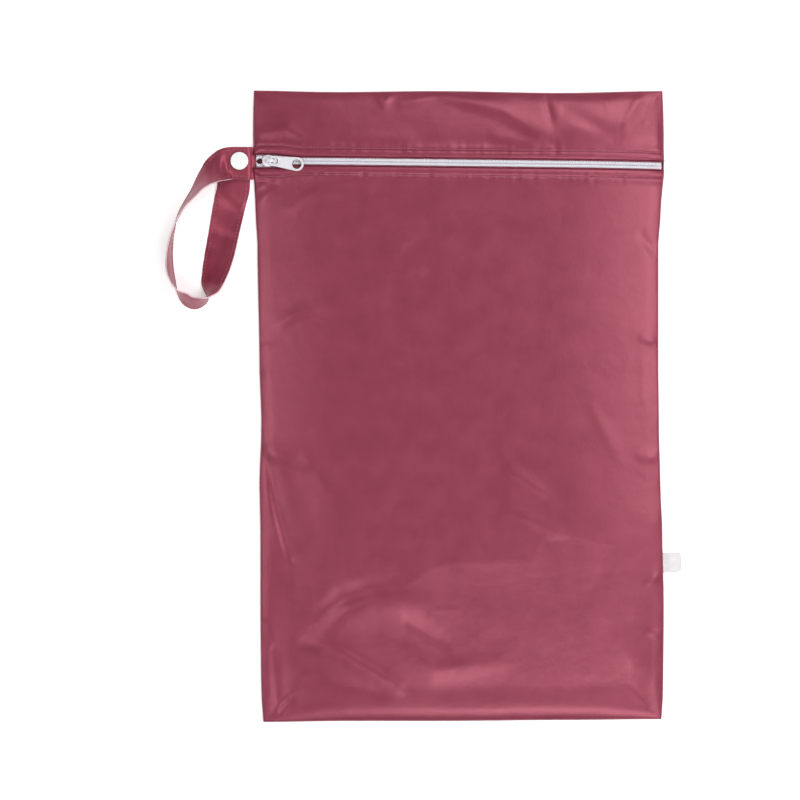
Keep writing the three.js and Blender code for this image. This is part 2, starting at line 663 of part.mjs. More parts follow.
// The double strap: a flat band swept along its route, its free end rounded off
function strap() {
  const route = strapRoute();
  const spans = route.length - 1;
  const curve = new THREE.CatmullRomCurve3(route.map((station) => station.place), false, 'centripetal');
  const columns = [
    { across: -1, up: 0.2 },
    { across: -0.97, up: 0.5 },
    { across: 0, up: 0.5 },
    { across: 0.97, up: 0.5 },
    { across: 1, up: 0.2 },
  ];
  const shares = [];
  for (let i = 0; i < spans; i += 1) {
    const steps = Math.max(1, Math.round(route[i].place.distanceTo(route[i + 1].place) / strapStep));
    for (let k = 0; k < steps; k += 1) shares.push((i + k / steps) / spans);
  }
  shares.push(1 - tipDepth / strapTail / spans, 1);
  const up = new THREE.Vector3(0, 0, 1);
  const middles = shares.map((share) => {
    const row = Math.min(Math.floor(share * spans), spans - 1);
    const lean = radians(mix(route[row].lean, route[row + 1].lean, share * spans - row));
    const place = curve.getPoint(share);
    const height = halfStrap * Math.sin(lean) + (strapThickness / 2) * Math.abs(Math.cos(lean));
    return { place: place.setZ(Math.max(place.z, 0) + height), lean };
  });
  const layer = (side) => middles.map(({ place, lean }, i) => {
    const before = middles[Math.max(i - 1, 0)].place;
    const after = middles[Math.min(i + 1, middles.length - 1)].place;
    const tangent = after.clone().sub(before).normalize();
    const inward = up.clone().cross(tangent.clone().setZ(0).normalize());
    const across = inward.multiplyScalar(Math.cos(lean)).addScaledVector(up, Math.sin(lean));
    const normal = across.clone().cross(tangent).normalize();
    const toTip = middles.at(-1).place.distanceTo(place);
    const half = mix(tipWidth, strapWidth, quarterRound(toTip, tipDepth)) / 2;
    return columns.map((column) => {
      const point = place.clone().addScaledVector(across, column.across * half);
      return point.addScaledVector(normal, side * column.up * strapThickness);
    });
  });
  const band = wallBetween(layer(1), layer(-1));
  const bore = prongWidth / 2 + gap;
  const hole = new THREE.CylinderGeometry(bore, bore, capBottom, 12);
  hole.rotateX(Math.PI / 2).translate(snapX, snapY, capBottom / 2);
  return piece('strap', geometryOf(solidOf(band).subtract(solidOf(hole))), looks.cloth);
}

// A snap cap with its prong, in its own frame: the flat side at Z = 0, the prong towards -Z
function capGeometry(prong) {
  const radius = capWidth / 2;
  const profile = [
    [0, -prong],
    [prongWidth / 2, -prong],
    [prongWidth / 2, 0],
    [radius * 0.96, 0],
    [radius, capThickness * 0.3],
    [radius * 0.98, capThickness * 0.65],
    [radius * 0.88, capThickness * 0.95],
    [radius * 0.5, capThickness + capDome * 0.6],
    [0, capThickness + capDome],
  ];
  return turned(profile);
}

function snapPieces() {
  const ring = ringWidth / 2;
  const stud = studWidth / 2;
  const bore = prongWidth / 2 + gap;
  const studTop = studBase + studHeight;
  const cap = capGeometry(capBottom - socketBottom - socketHeight / 2);
  const studProfile = [
    [bore, 0],
    [ring, 0],
    [ring, studBase * 0.6],
    [ring * 0.95, studBase],
    [stud * 0.86, studBase],
    [stud, studBase + studHeight * 0.7],
    [stud * 0.9, studTop],
    [bore, studTop],
  ];
  const recess = stud + gap;
  const recessTop = studTop - studBase;
  const socketProfile = [
    [recess, 0],
    [ring * 0.95, 0],
    [ring, socketHeight * 0.3],
    [ring, socketHeight * 0.7],
    [ring * 0.9, socketHeight],
    [bore, socketHeight],
    [bore, recessTop],
    [recess, recessTop],
  ];
  const parts = [
    piece('snap_cap', cap.translate(0, 0, capBottom), looks.plastic),
    piece('snap_socket', turned(socketProfile).translate(0, 0, socketBottom), looks.plastic),
    piece('snap_stud', turned(studProfile).translate(0, 0, studBottom), looks.plastic),
    piece('snap_back', backCap(), looks.plastic),
  ];
  const group = new THREE.Group();
  group.position.set(snapX, snapY, 0);
  group.add(...parts);
  return group;
}

// The flat cap under the free end, with its prong towards +Z
function backCap() {
  const radius = capWidth / 2;
  return turned([
    [0, 0],
    [radius * 0.9, 0],
    [radius, capThickness * 0.4],
    [radius * 0.97, capThickness],
    [prongWidth / 2, capThickness],
    [prongWidth / 2, studBottom + studBase],
    [0, studBottom + studBase],
  ]);
}

// The label: one ribbon folded back on itself, its ends held in the seam
function sideLabel() {
  const y = labelFromBottom - bagHeight / 2;
  const height = 2 * labelWall + labelSlit;
  const half = labelLength / 2;
  const plan = new THREE.Shape();
  plan.moveTo(-labelRoot, -half);
  plan.lineTo(labelReach - labelCorner, -half);
  plan.absarc(labelReach - labelCorner, labelCorner - half, labelCorner, -Math.PI / 2, 0, false);
  plan.absarc(labelReach - labelCorner, half - labelCorner, labelCorner, 0, Math.PI / 2, false);
  plan.lineTo(-labelRoot, half);
  plan.closePath();
  const whole = solidOf(plate(plan, 0, height, labelWall / 3));
  const fold = labelReach - 2 * labelWall;
  const slit = box(-labelRoot - gap, fold, -half - gap, half + gap, labelWall, labelWall + labelSlit);
  const label = piece('side_label', geometryOf(whole.subtract(solidOf(slit))), looks.ribbon);
  label.position.set(rightEdge(y), y, seatHeight);
  return label;
}

const bag = new THREE.Group();
bag.add(
  backPanel(),
  frontPanel(),
  topPanel(),
  zipTape('zip_tape_upper', 1),
  zipTape('zip_tape_lower', -1),
  zipCoil('zip_coil_upper', 1),
  zipCoil('zip_coil_lower', -1),
  sliderGroup(),
  strap(),
  snapPieces(),
  sideLabel(),
);

export default bag;
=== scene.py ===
import bisect
import math

import bmesh
import bpy
from mathutils import Matrix, Vector, noise


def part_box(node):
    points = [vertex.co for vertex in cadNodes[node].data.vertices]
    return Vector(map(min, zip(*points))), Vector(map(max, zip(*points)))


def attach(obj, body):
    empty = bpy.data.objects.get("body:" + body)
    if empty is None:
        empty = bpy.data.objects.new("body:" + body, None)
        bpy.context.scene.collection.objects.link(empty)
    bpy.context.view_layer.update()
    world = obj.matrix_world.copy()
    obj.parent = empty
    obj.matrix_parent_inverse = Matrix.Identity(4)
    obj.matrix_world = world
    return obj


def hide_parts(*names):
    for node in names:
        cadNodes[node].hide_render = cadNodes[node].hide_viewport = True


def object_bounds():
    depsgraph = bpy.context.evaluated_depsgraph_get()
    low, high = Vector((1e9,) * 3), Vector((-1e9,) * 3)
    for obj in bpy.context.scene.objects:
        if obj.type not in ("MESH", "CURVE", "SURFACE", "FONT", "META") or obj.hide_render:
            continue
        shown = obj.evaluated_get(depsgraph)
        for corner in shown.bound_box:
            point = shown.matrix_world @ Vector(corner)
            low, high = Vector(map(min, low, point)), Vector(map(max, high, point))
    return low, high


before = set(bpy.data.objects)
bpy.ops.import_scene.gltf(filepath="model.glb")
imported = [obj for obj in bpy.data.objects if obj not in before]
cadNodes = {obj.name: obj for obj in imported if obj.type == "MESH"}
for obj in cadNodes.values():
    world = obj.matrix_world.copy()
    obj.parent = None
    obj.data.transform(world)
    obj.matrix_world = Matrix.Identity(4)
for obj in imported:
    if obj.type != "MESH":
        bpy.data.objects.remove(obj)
cadBox = [list(corner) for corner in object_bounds()]
mm = 0.001


# Small helpers

def clamp(value, low=0.0, high=1.0):
    return max(low, min(high, value))


def ease(value):
    value = clamp(value)
    return value * value * (3 - 2 * value)


def mix(start, end, share):
    return start + (end - start) * share


def quarterRound(distance, width):
    return math.sqrt(1 - (1 - clamp(distance / width)) ** 2)


def swell(distance, rise):
    return 1 - (1 - clamp(distance / rise)) ** 2


def startMaterial(name, finish):
    material = bpy.data.materials.new(name)
    material.use_nodes = True
    shader = material.node_tree.nodes["Principled BSDF"]
    for socket, value in finish.items():
        shader.inputs[socket].default_value = value
    return material, material.node_tree, shader


def addNode(tree, kind, inputs=None, **settings):
    node = tree.nodes.new(kind)
    for setting, value in settings.items():
        setattr(node, setting, value)
    for socket, value in (inputs or {}).items():
        if isinstance(value, bpy.types.NodeSocket):
            tree.links.new(value, node.inputs[socket])
        else:
            node.inputs[socket].default_value = value
    return node


def addBumps(tree, shader, layers):
    # each layer is a height socket, how strong it is and how deep in metres
    normal = None
    for height, strength, depth in layers:
        bump = addNode(tree, "ShaderNodeBump", {"Height": height, "Strength": strength, "Distance": depth})
        if normal is not None:
            tree.links.new(normal, bump.inputs["Normal"])
        normal = bump.outputs["Normal"]
    tree.links.new(normal, shader.inputs["Normal"])


def stretchedNoise(tree, coords, scale, detail, stretch=(1, 1, 1)):
    placed = addNode(tree, "ShaderNodeMapping", {"Vector": coords, "Scale": stretch})
    grain = {"Vector": placed.outputs[0], "Scale": scale, "Detail": detail}
    return addNode(tree, "ShaderNodeTexNoise", grain).outputs["Fac"]


def wave(tree, coords, pitch, direction):
    # a wave texture's bands lie 0.314 apart at scale 1
    bands = {"Vector": coords, "Scale": 0.314 / pitch}
    return addNode(tree, "ShaderNodeTexWave", bands, bands_direction=direction).outputs["Fac"]


def slantedWave(tree, coords, pitch, slant):
    turned = {"Vector": coords, "Rotation": (0, 0, math.radians(slant))}
    return wave(tree, addNode(tree, "ShaderNodeMapping", turned).outputs[0], pitch, "X")


def combine(tree, operation, first, second):
    return addNode(tree, "ShaderNodeMath", {0: first, 1: second}, operation=operation).outputs[0]


def tint(tree, factor, dark, light, low=0.3, high=0.7):
    ramp = addNode(tree, "ShaderNodeValToRGB", {"Fac": factor})
    ramp.color_ramp.elements[0].position = low
    ramp.color_ramp.elements[0].color = (*dark, 1)
    ramp.color_ramp.elements[1].position = high
    ramp.color_ramp.elements[1].color = (*light, 1)
    return ramp.outputs["Color"]


def spread(tree, factor, low, high):
    return addNode(tree, "ShaderNodeMapRange", {"Value": factor, "To Min": low, "To Max": high}).outputs[0]


def colourAndGloss(tree, shader, finish, shade, rough, low=0.3, high=0.7):
    # base colour and roughness between the finish's two values, each from a pattern
    colour = tint(tree, shade, finish["dark"], finish["light"], low, high)
    tree.links.new(colour, shader.inputs["Base Color"])
    tree.links.new(spread(tree, rough, *finish["roughness"]), shader.inputs["Roughness"])


def meshOf(name, bm):
    mesh = bpy.data.meshes.new(name)
    bm.to_mesh(mesh)
    bm.free()
    return mesh


def finishPiece(name, bm, materials, replaced=(), body="bag"):
    # a finished piece sits at the origin, rides a body and may stand for CAD nodes
    mesh = meshOf(name, bm)
    piece = bpy.data.objects.new(name, mesh)
    bpy.context.scene.collection.objects.link(piece)
    for material in materials:
        mesh.materials.append(material)
    mesh.shade_smooth()
    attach(piece, body)
    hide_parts(*replaced)
    return piece


def mappedGrid(columns, rows, place, cut=(1.0, 1.0)):
    # a grid laid out flat for its UV map in metres, then each point put where place says
    bm = bmesh.new()
    bmesh.ops.create_grid(bm, x_segments=len(columns) - 1, y_segments=len(rows) - 1, size=0.5)
    layer = bm.loops.layers.uv.new("cut")
    across = {vertex: columns[round((vertex.co.x + 0.5) * (len(columns) - 1))] for vertex in bm.verts}
    along = {vertex: rows[round((vertex.co.y + 0.5) * (len(rows) - 1))] for vertex in bm.verts}
    for face in bm.faces:
        for loop in face.loops:
            loop[layer].uv = (across[loop.vert] * cut[0], along[loop.vert] * cut[1])
    for vertex in bm.verts:
        vertex.co = place(across[vertex], along[vertex])
    return bm


def evenStops(length, step, startStops, endStops):
    # distances over a length: the given ones at each end, evenly spaced ones between
    first, last = startStops[-1], length - endStops[-1]
    count = max(2, round((last - first) / step))
    between = [mix(first, last, (i + 1) / count) for i in range(count - 1)]
    return [*startStops, *between, *[length - stop for stop in reversed(endStops)]]


def evenShares(length, step, stops):
    # the same with both ends alike, as shares of the length
    return [stop / length for stop in evenStops(length, step, stops, stops)]


def addWall(piece, thickness, offset=-1.0, rim=0, even=True):
    # an even wall makes spikes where a sheet is folded sharply
    wall = piece.modifiers.new("wall", "SOLIDIFY")
    wall.thickness = thickness
    wall.offset = offset
    wall.use_even_offset = even
    wall.material_offset_rim = rim
    return piece


def spunShape(profile, segments=64):
    # a closed shape turned round Z from radius and height pairs
    bm = bmesh.new()
    points = [bm.verts.new((radius, 0, height)) for radius, height in profile]
    for first, second in zip(points, points[1:]):
        bm.edges.new((first, second))
    geom = [*bm.verts, *bm.edges]
    bmesh.ops.spin(bm, geom=geom, cent=(0, 0, 0), axis=(0, 0, 1), angle=2 * math.pi, steps=segments,
                   use_merge=True, use_duplicate=False)
    bmesh.ops.remove_doubles(bm, verts=bm.verts, dist=1e-6)
    bmesh.ops.recalc_face_normals(bm, faces=bm.faces)
    return bm


def flatPlate(name, outlines, thickness, bevel):
    # a plate from closed outlines, inner ones cut out, with rounded edges
    curve = bpy.data.curves.new(name, "CURVE")
    curve.dimensions = "2D"
    curve.fill_mode = "BOTH"
    curve.extrude = thickness / 2 - bevel
    curve.bevel_depth = bevel
    curve.bevel_resolution = 3
    curve.offset = -bevel
    for outline in outlines:
        spline = curve.splines.new("POLY")
        spline.points.add(len(outline) - 1)
        spline.use_cyclic_u = True
        for point, (x, y) in zip(spline.points, outline):
            point.co = (x, y, 0, 1)
    holder = bpy.data.objects.new(name, curve)
    bpy.context.scene.collection.objects.link(holder)
    mesh = bpy.data.meshes.new_from_object(holder.evaluated_get(bpy.context.evaluated_depsgraph_get()))
    bpy.data.objects.remove(holder)
    bpy.data.curves.remove(curve)
    bm = bmesh.new()
    bm.from_mesh(mesh)
    bpy.data.meshes.remove(mesh)
    bmesh.ops.remove_doubles(bm, verts=bm.verts, dist=1e-6)
    bmesh.ops.recalc_face_normals(bm, faces=bm.faces)
    return bm


def arc(centreX, centreY, radius, start, end, steps):
    angles = [math.radians(mix(start, end, i / steps)) for i in range(steps + 1)]
    return [(centreX + radius * math.cos(a), centreY + radius * math.sin(a)) for a in angles]


def addShape(target, source, place=(0, 0, 0)):
    # takes one bmesh into another, moved to a place
    bmesh.ops.translate(source, verts=source.verts, vec=place)
    mesh = meshOf("part", source)
    target.from_mesh(mesh)
    bpy.data.meshes.remove(mesh)


def addCopies(target, source, places):
    # takes one bmesh into another once for each placing matrix
    mesh = meshOf("part", source)
    for place in places:
        placed = mesh.copy()
        placed.transform(place)
        target.from_mesh(placed)
        bpy.data.meshes.remove(placed)
    bpy.data.meshes.remove(mesh)


print("stage: outline of the bag read from the frame")


def edgeOf(node, along, outward, band):
    # the node's outer line on one side, along 0 for x or 1 for y, read at its half height
    other = 1 - along
    low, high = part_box(node)
    limit = high[other] if outward > 0 else low[other]
    middle = (low.z + high.z) / 2
    found = {}
    for vertex in cadNodes[node].data.vertices:
        near = abs(vertex.co[other] - limit) < band
        if near and abs(vertex.co.z - middle) < (high.z - low.z) / 4:
            key = round(vertex.co[along], 4)
            found[key] = max(found.get(key, -1.0), vertex.co[other] * outward)
    keys = sorted(found)
    values = [found[key] * outward for key in keys]

    def read(place):
        place = clamp(place, keys[0], keys[-1])
        i = clamp(bisect.bisect_right(keys, place) - 1, 0, len(keys) - 2)
        return mix(values[i], values[i + 1], (place - keys[i]) / (keys[i + 1] - keys[i]))

    return read


leftEdge = edgeOf("back_panel", 1, -1, 12 * mm)
rightEdge = edgeOf("back_panel", 1, 1, 12 * mm)
topEdge = edgeOf("back_panel", 0, 1, 6 * mm)
bottomEdge = edgeOf("back_panel", 0, -1, 6 * mm)

# The bag's own sizes, in metres. The width and height are those of the frame.
bagCut = {
    "width": 288 * mm,
    "height": 442 * mm,
    "wall": 0.45 * mm,
    "frameWall": 1 * mm,  # the wall of the frame's solids
    "seat": 1.3 * mm,  # height of the seam over the floor
    "rollHeight": 3.2 * mm,
    "rollWidth": 1.5 * mm,
    "rollRise": 10 * mm,  # how far in the seam's swell reaches
    "rollShare": 0.6,
    "foldMargin": 6.5 * mm,
    "loft": 5.5 * mm,
    "sideRise": 68 * mm,
    "topRise": 46 * mm,
    "footRise": 26 * mm,
    "footDrop": 6.5 * mm,  # how far the lower part would sink below the plateau
    "footSlope": 95 * mm,  # and how gently
    "columnStep": 1.43 * mm,
    "rowStep": 2.0 * mm,
    "fallStart": 5 * mm,  # rounds the top of the sinking part
    "scallop": 0.35 * mm,  # unevenness along the hems
    "scallopStart": 3 * mm,
}

# The line under which the front falls away towards its foot, in millimetres from the bag's middle
plateauEdge = [
    (-141, -22), (-109, -29), (-87, -69), (-58, -103), (-36, -122), (-21, -113), (-6, -108), (50, -107),
    (57, -90), (78, -88), (92, -92), (110, -95), (118, -104), (127, -92), (139, -76), (144, -66),
]

# Folds of the front, in millimetres from the bag's middle: the points of the line, how wide it is, how
# far it rises (a valley falls) and how many times wider it is on the left of its direction
folds = [
    # top band
    ([(-58, 219), (-52.5, 211), (-47, 219)], 2.2, 0.8, 1),
    ([(-40, 211), (-13, 219)], 3, 0.9, 1.2),
    ([(-10, 217), (30, 206), (57, 190)], 4, 1.4, 2.4),
    ([(60, 216), (64, 199)], 2.2, -0.9, 1.3),
    ([(66, 192), (96, 196), (136, 189)], 16, 2.3, 1.3),
    ([(75, 206), (108, 188)], 4, -1.0, 1.6),
    ([(127, 218), (116, 197)], 2.8, 1.0, 1.4),
    ([(138, 216), (130, 199)], 2.3, 0.9, 1),
    ([(101, 219), (104, 208)], 2, 0.6, 1),
    ([(-139, 190), (-120, 193), (-110, 188)], 3.2, 1.0, 1.3),
    ([(-75, 187), (-34, 186)], 3.6, 1.0, 1.5),
    ([(27, 187), (53, 183)], 3.4, 1.1, 1.5),
    ([(-134, 214), (-88, 213)], 6, 0.7, 1),
    # below the zip
    ([(-143, 158), (-128, 156)], 1.8, -0.9, 1),
    ([(-142, 153), (-131, 157.5)], 1.7, 0.8, 1),
    ([(-139, 144), (-129, 150)], 2.6, 1.0, 1.3),
    ([(-113, 138), (-99, 148), (-65, 150)], 4, 1.3, 1.6),
    ([(-80, 118), (-47, 114), (-17, 121)], 5, 0.8, 1.2),
    ([(-5, 122), (20, 123)], 6, 0.6, 1),
    ([(-73, 103), (-47, 106), (-36, 114)], 5, 0.7, 1.2),
    ([(-47, 92), (-29, 92)], 4, 0.8, 1.4),
    ([(-91, 68), (-55, 73)], 6, 0.9, 1.2),
    ([(-125, 57), (-110, 66)], 4, 1.0, 1.3),
    ([(-141, 41), (-133, 42)], 1.6, 0.8, 1),
    ([(-141, 22), (-133, 23)], 1.6, 0.7, 1),
    ([(128, 118), (138, 106)], 3, -1.0, 1.3),
    ([(129, 47), (141, 44)], 2.2, 0.9, 1.6),
    ([(128, 47), (129, 4)], 2.8, 0.16, 1),
    ([(92, -1), (111, -36)], 4, 0.45, 1.4),
    ([(128, -36), (141, -37)], 2.2, 0.9, 1.7),
    # lower part
    ([(-138, -31), (-109, -40)], 5, 1.0, 1.3),
    ([(-135, -36), (-127, -76), (-119, -106)], 2.6, -1.1, 1.4),
    ([(-128, -33), (-111, -94)], 6, 0.7, 1.2),
    ([(-130, -80), (-122, -112)], 2.2, 0.5, 1.2),
    ([(36, -45), (58, -61)], 3, 1.1, 1.8),
    ([(36, -73), (67, -87)], 4, 0.8, 1.4),
    ([(-52, -127), (-82, -134), (-106, -160)], 8, -1.5, 0.8),
    ([(-95, -151), (-59, -135), (-22, -139)], 15, 1.7, 0.45),
    ([(-36, -150), (-10, -167)], 3.4, -1.2, 1.4),
    ([(-106, -164), (-80, -174), (-43, -196)], 6.5, 1.6, 0.6),
    ([(-111, -188), (-55, -202)], 4, -0.8, 1),
    ([(-36, -171), (-17, -184), (27, -179)], 9, 1.2, 0.6),
    ([(113, -164), (134, -192)], 7, 0.9, 1),
    ([(-131, -171), (-127, -216)], 2.4, -1.1, 1.4),
    ([(-127, -217), (-117, -206)], 2.2, 0.9, 1),
    ([(141, -118), (132, -124)], 2.4, 0.7, 1),
    ([(141, -160), (133, -158)], 2.2, 0.6, 1),
    ([(-140, -146), (-132, -149)], 2.4, 0.6, 1),
]

zipCut = {
    "fromTop": 49.5 * mm,
    "drop": 3.5 * mm,
    "inset": 1.9 * mm,
    "tapeWidth": 13 * mm,
    "tapeThickness": 0.5 * mm,
    "coilWidth": 2.5 * mm,
    "coilHeight": 1.6 * mm,
    "coilGap": 0.3 * mm,
    "coilSpread": 0.9 * mm,
    "pitch": 1.27 * mm,
    "strand": 0.8 * mm,
    "postWidth": 1.5 * mm,
    "lipClearance": 0.3 * mm,
    "lipDepth": 6.4 * mm,
    "lipRise": 1.5 * mm,
    "lipBlend": 16 * mm,
    "lipWander": 0.18 * mm,
    "lipOverlap": 0.1 * mm,
    "coilMesh": 0.28 * mm,  # how far the two rows reach into each other
    "eyeRound": 0.55,
    "eyeBlend": 3 * mm,
    "seamInset": 2.5 * mm,
    "seamDip": 0.3 * mm,
    "seamDipWidth": 0.8 * mm,
    "pucker": 0.42 * mm,
    "tapeUnder": 0.35 * mm,  # how far the tapes lie under the coil's foot
    "tapeColumns": 230,
}

sliderCut = {
    "inset": 12.2 * mm,
    "length": 10.8 * mm,
    "nose": 8.7 * mm,
    "tail": 7.2 * mm,
    "plate": 0.9 * mm,
    "gap": 0.3 * mm,
    "flange": 0.6 * mm,
    "bridgeLength": 6.6 * mm,
    "bridgeWidth": 2 * mm,
    "bridgeWall": 0.9 * mm,
    "barInset": 0.75 * mm,
    "fullness": 0.85,  # 1 makes the plates oval, less makes them squarer
    "crownRound": 0.32 * mm,
    "crownDome": 0.22 * mm,
    "flangeLength": 0.56,  # as a share of the slider's length
    "flangeFoot": 0.25 * mm,
    "flangeRound": 0.14 * mm,
    "underInset": 0.15 * mm,
    "underRound": 0.25 * mm,
    "underDrop": 1.85 * mm,
}


def zipY(x):
    return bagCut["height"] / 2 - zipCut["fromTop"] - zipCut["drop"] * (x / bagCut["width"] + 0.5)


zipLeft = leftEdge(zipY(-bagCut["width"] / 2))
zipRight = rightEdge(zipY(bagCut["width"] / 2))
sliderX = zipLeft + sliderCut["inset"]


def foldParts():
    # each stretch of each fold, with the box outside which it can be left out
    parts = []
    for points, width, rise, lopsided in folds:
        reach = 2.6 * width * max(lopsided, 1)
        for i, ((fromX, fromY), (toX, toY)) in enumerate(zip(points, points[1:])):
            low = (min(fromX, toX) - reach, min(fromY, toY) - reach)
            high = (max(fromX, toX) + reach, max(fromY, toY) + reach)
            ends = (i == 0, i == len(points) - 2)
            line = (toX - fromX, toY - fromY)
            parts.append((points, low, high, (fromX, fromY), line, ends, width, rise, lopsided))
    return parts


foldTable = foldParts()


def foldHeight(x, y):
    # each fold gives the height of its strongest stretch at the point
    x, y = x / mm, y / mm
    found = {}
    for points, low, high, start, line, ends, width, rise, lopsided in foldTable:
        if not (low[0] < x < high[0] and low[1] < y < high[1]):
            continue
        share = clamp(((x - start[0]) * line[0] + (y - start[1]) * line[1]) / (line[0] ** 2 + line[1] ** 2))
        awayX, awayY = x - start[0] - line[0] * share, y - start[1] - line[1] * share
        left = line[0] * awayY - line[1] * awayX > 0
        away = math.hypot(awayX, awayY) / (width * (lopsided if left else 1.0))
        taper = 1 - 0.5 * (ends[0] * (1 - share) ** 2 + ends[1] * share ** 2)
        height = rise * taper * math.exp(-away * away)
        key = id(points)
        found[key] = max(found.get(key, 0.0), height, key=abs)
    return sum(found.values()) * mm


def footFall(x, y):
    # how far the front has sunk below its plateau at a point
    x, y = x / mm, y / mm
    if y > 0:
        return 0.0
    nearest, below = 1e9, False
    for (fromX, fromY), (toX, toY) in zip(plateauEdge, plateauEdge[1:]):
        lineX, lineY = toX - fromX, toY - fromY
        share = clamp(((x - fromX) * lineX + (y - fromY) * lineY) / (lineX ** 2 + lineY ** 2))
        nearest = min(nearest, math.hypot(x - fromX - lineX * share, y - fromY - lineY * share))
        if fromX <= x < toX:
            below = y < mix(fromY, toY, (x - fromX) / (toX - fromX))
    if not below:
        return 0.0
    distance = nearest * mm
    sunk = bagCut["footDrop"] * (1 - math.exp(-distance / bagCut["footSlope"]))
    return sunk * ease(distance / bagCut["fallStart"])


# Soft unevenness of the front: how dense across and along, a layer of the noise, and how high
ripples = [(10, 17, 0.3, 0.6 * mm), (26, 48, 4.1, 0.15 * mm), (110, 130, 9.7, 0.035 * mm)]


def ripple(x, y):
    height = 0.0
    for across, along, layer, rise in ripples:
        height += rise * noise.noise(Vector((x * across, y * along, layer)))
    return height


def clothBase(x, y, wall=0.0):
    # the frame's own pillow: seam roll and loft
    side = min(x - leftEdge(y), rightEdge(y) - x)
    below, above = y - bottomEdge(x), topEdge(x) - y
    width = bagCut["rollWidth"]
    hem = min(below, above)
    rolled = quarterRound(side - wall, width) * quarterRound(hem - wall, width)
    swollen = swell(side - wall, bagCut["rollRise"]) * swell(hem - wall, bagCut["rollRise"])
    roll = mix(swollen, rolled, bagCut["rollShare"])
    lift = swell(side, bagCut["sideRise"]) * swell(below, bagCut["footRise"])
    lift *= swell(above, bagCut["topRise"])
    return bagCut["seat"] + (bagCut["rollHeight"] - wall) * roll + bagCut["loft"] * lift


def clothHeight(x, y):
    # the pillow with its sunk foot, its folds and its uneven hems
    inward = min(x - leftEdge(y), rightEdge(y) - x, y - bottomEdge(x), topEdge(x) - y)
    edgeCalm = ease(inward / bagCut["foldMargin"])
    zipCalm = ease(abs(y - zipY(x)) / zipCut["tapeWidth"])
    scallop = bagCut["scallop"] * noise.noise(Vector((x * 70, y * 70, 2.0)))
    scallop *= ease(inward / bagCut["scallopStart"])
    folded = (foldHeight(x, y) + ripple(x, y)) * edgeCalm * zipCalm
    sunk = footFall(x, y) * ease(inward / bagCut["footRise"])
    return clothBase(x, y) - sunk + folded + scallop * (1 - edgeCalm)


def coilBase(x):
    return clothBase(x, zipY(x), bagCut["frameWall"])


def coilOffset(x):
    # from the zip's middle to the middle of a row of coil
    closed = (zipCut["coilGap"] + zipCut["coilWidth"]) / 2 - zipCut["coilMesh"]
    nose = sliderX - sliderCut["length"] / 2
    parted = zipCut["postWidth"] / 2 + sliderCut["gap"]
    if x > nose:
        return closed + parted * ease((sliderX + sliderCut["length"] / 4 - x) / (sliderCut["length"] / 2))
    eye = clamp((x - zipLeft - zipCut["inset"]) / (nose - zipLeft - zipCut["inset"]))
    bowed = zipCut["coilSpread"] * math.sin(math.pi * eye)
    return closed + parted * quarterRound(eye, zipCut["eyeRound"]) + bowed


def lipOffset(x):
    # from the zip's middle to the folded edge of a lip
    closed = zipCut["coilGap"] / 2 + zipCut["coilWidth"] + zipCut["lipClearance"] - zipCut["lipOverlap"]
    beside = sliderCut["nose"] / 2 + zipCut["lipClearance"]
    wander = zipCut["lipWander"] * noise.noise(Vector((x * 160, 3.0, 0)))
    nose = sliderX - sliderCut["length"] / 2
    if x < nose:
        eye = coilOffset(x) + zipCut["coilWidth"] / 2 + zipCut["lipClearance"]
        return mix(eye, beside, ease((x - nose) / zipCut["eyeBlend"] + 1)) + wander
    past = x - sliderX - sliderCut["length"] / 2
    return mix(max(beside, closed), closed, ease(past / zipCut["lipBlend"])) + wander


def lipHeight(distance, x, side):
    # the lip rises behind its folded edge, dips at its stitch line and puckers there
    depth = zipCut["lipDepth"]
    if distance > 2.2 * depth:
        return 0.0
    dome = zipCut["lipRise"] * (0.25 + 0.75 * math.sin(math.pi * (0.08 + 0.84 * clamp(distance / depth))))
    dome *= ease((1.9 * depth - distance) / (0.9 * depth))
    beyond = distance - depth
    dip = zipCut["seamDip"] * math.exp(-(beyond / zipCut["seamDipWidth"]) ** 2)
    fine = noise.noise(Vector((x * 260, side * 5.0, 0)))
    broad = noise.noise(Vector((x * 110, side * 9.0, 1)))
    pucker = zipCut["pucker"] * (fine + 0.8 * broad) * math.exp(-(beyond / (0.55 * depth)) ** 2)
    return dome - dip + pucker


print("stage: materials")


def clothMaterial(name, finish):
    # satin laminated knit: fine ribs, faint streaks, soft creases and a broad sheen
    material, tree, shader = startMaterial(name, finish["shader"])
    coords = addNode(tree, "ShaderNodeTexCoord").outputs["UV"]
    mottle = stretchedNoise(tree, coords, 60, 5)
    streak = stretchedNoise(tree, coords, 1, 3, (900, 45, 1))
    ribs = wave(tree, coords, finish["ribPitch"], "X")
    courses = wave(tree, coords, finish["coursePitch"], "Y")
    knit = combine(tree, "MULTIPLY", ribs, courses)
    patches = combine(tree, "MULTIPLY", mottle, 0.8)
    streaks = combine(tree, "MULTIPLY", streak, 0.2)
    shade = combine(tree, "ADD", patches, streaks)
    colourAndGloss(tree, shader, finish, shade, mottle, 0.35, 0.65)
    crumple = stretchedNoise(tree, coords, finish["crumpleScale"], 4)
    wrinkle = stretchedNoise(tree, coords, 26, 2, (1, 1.5, 1))
    addBumps(tree, shader, [
        (wrinkle, 0.35, 1.2 * mm),
        (crumple, 0.3, 0.35 * mm),
        (streak, 0.12, 0.05 * mm),
        (knit, 0.35, 0.05 * mm),
    ])
    return material


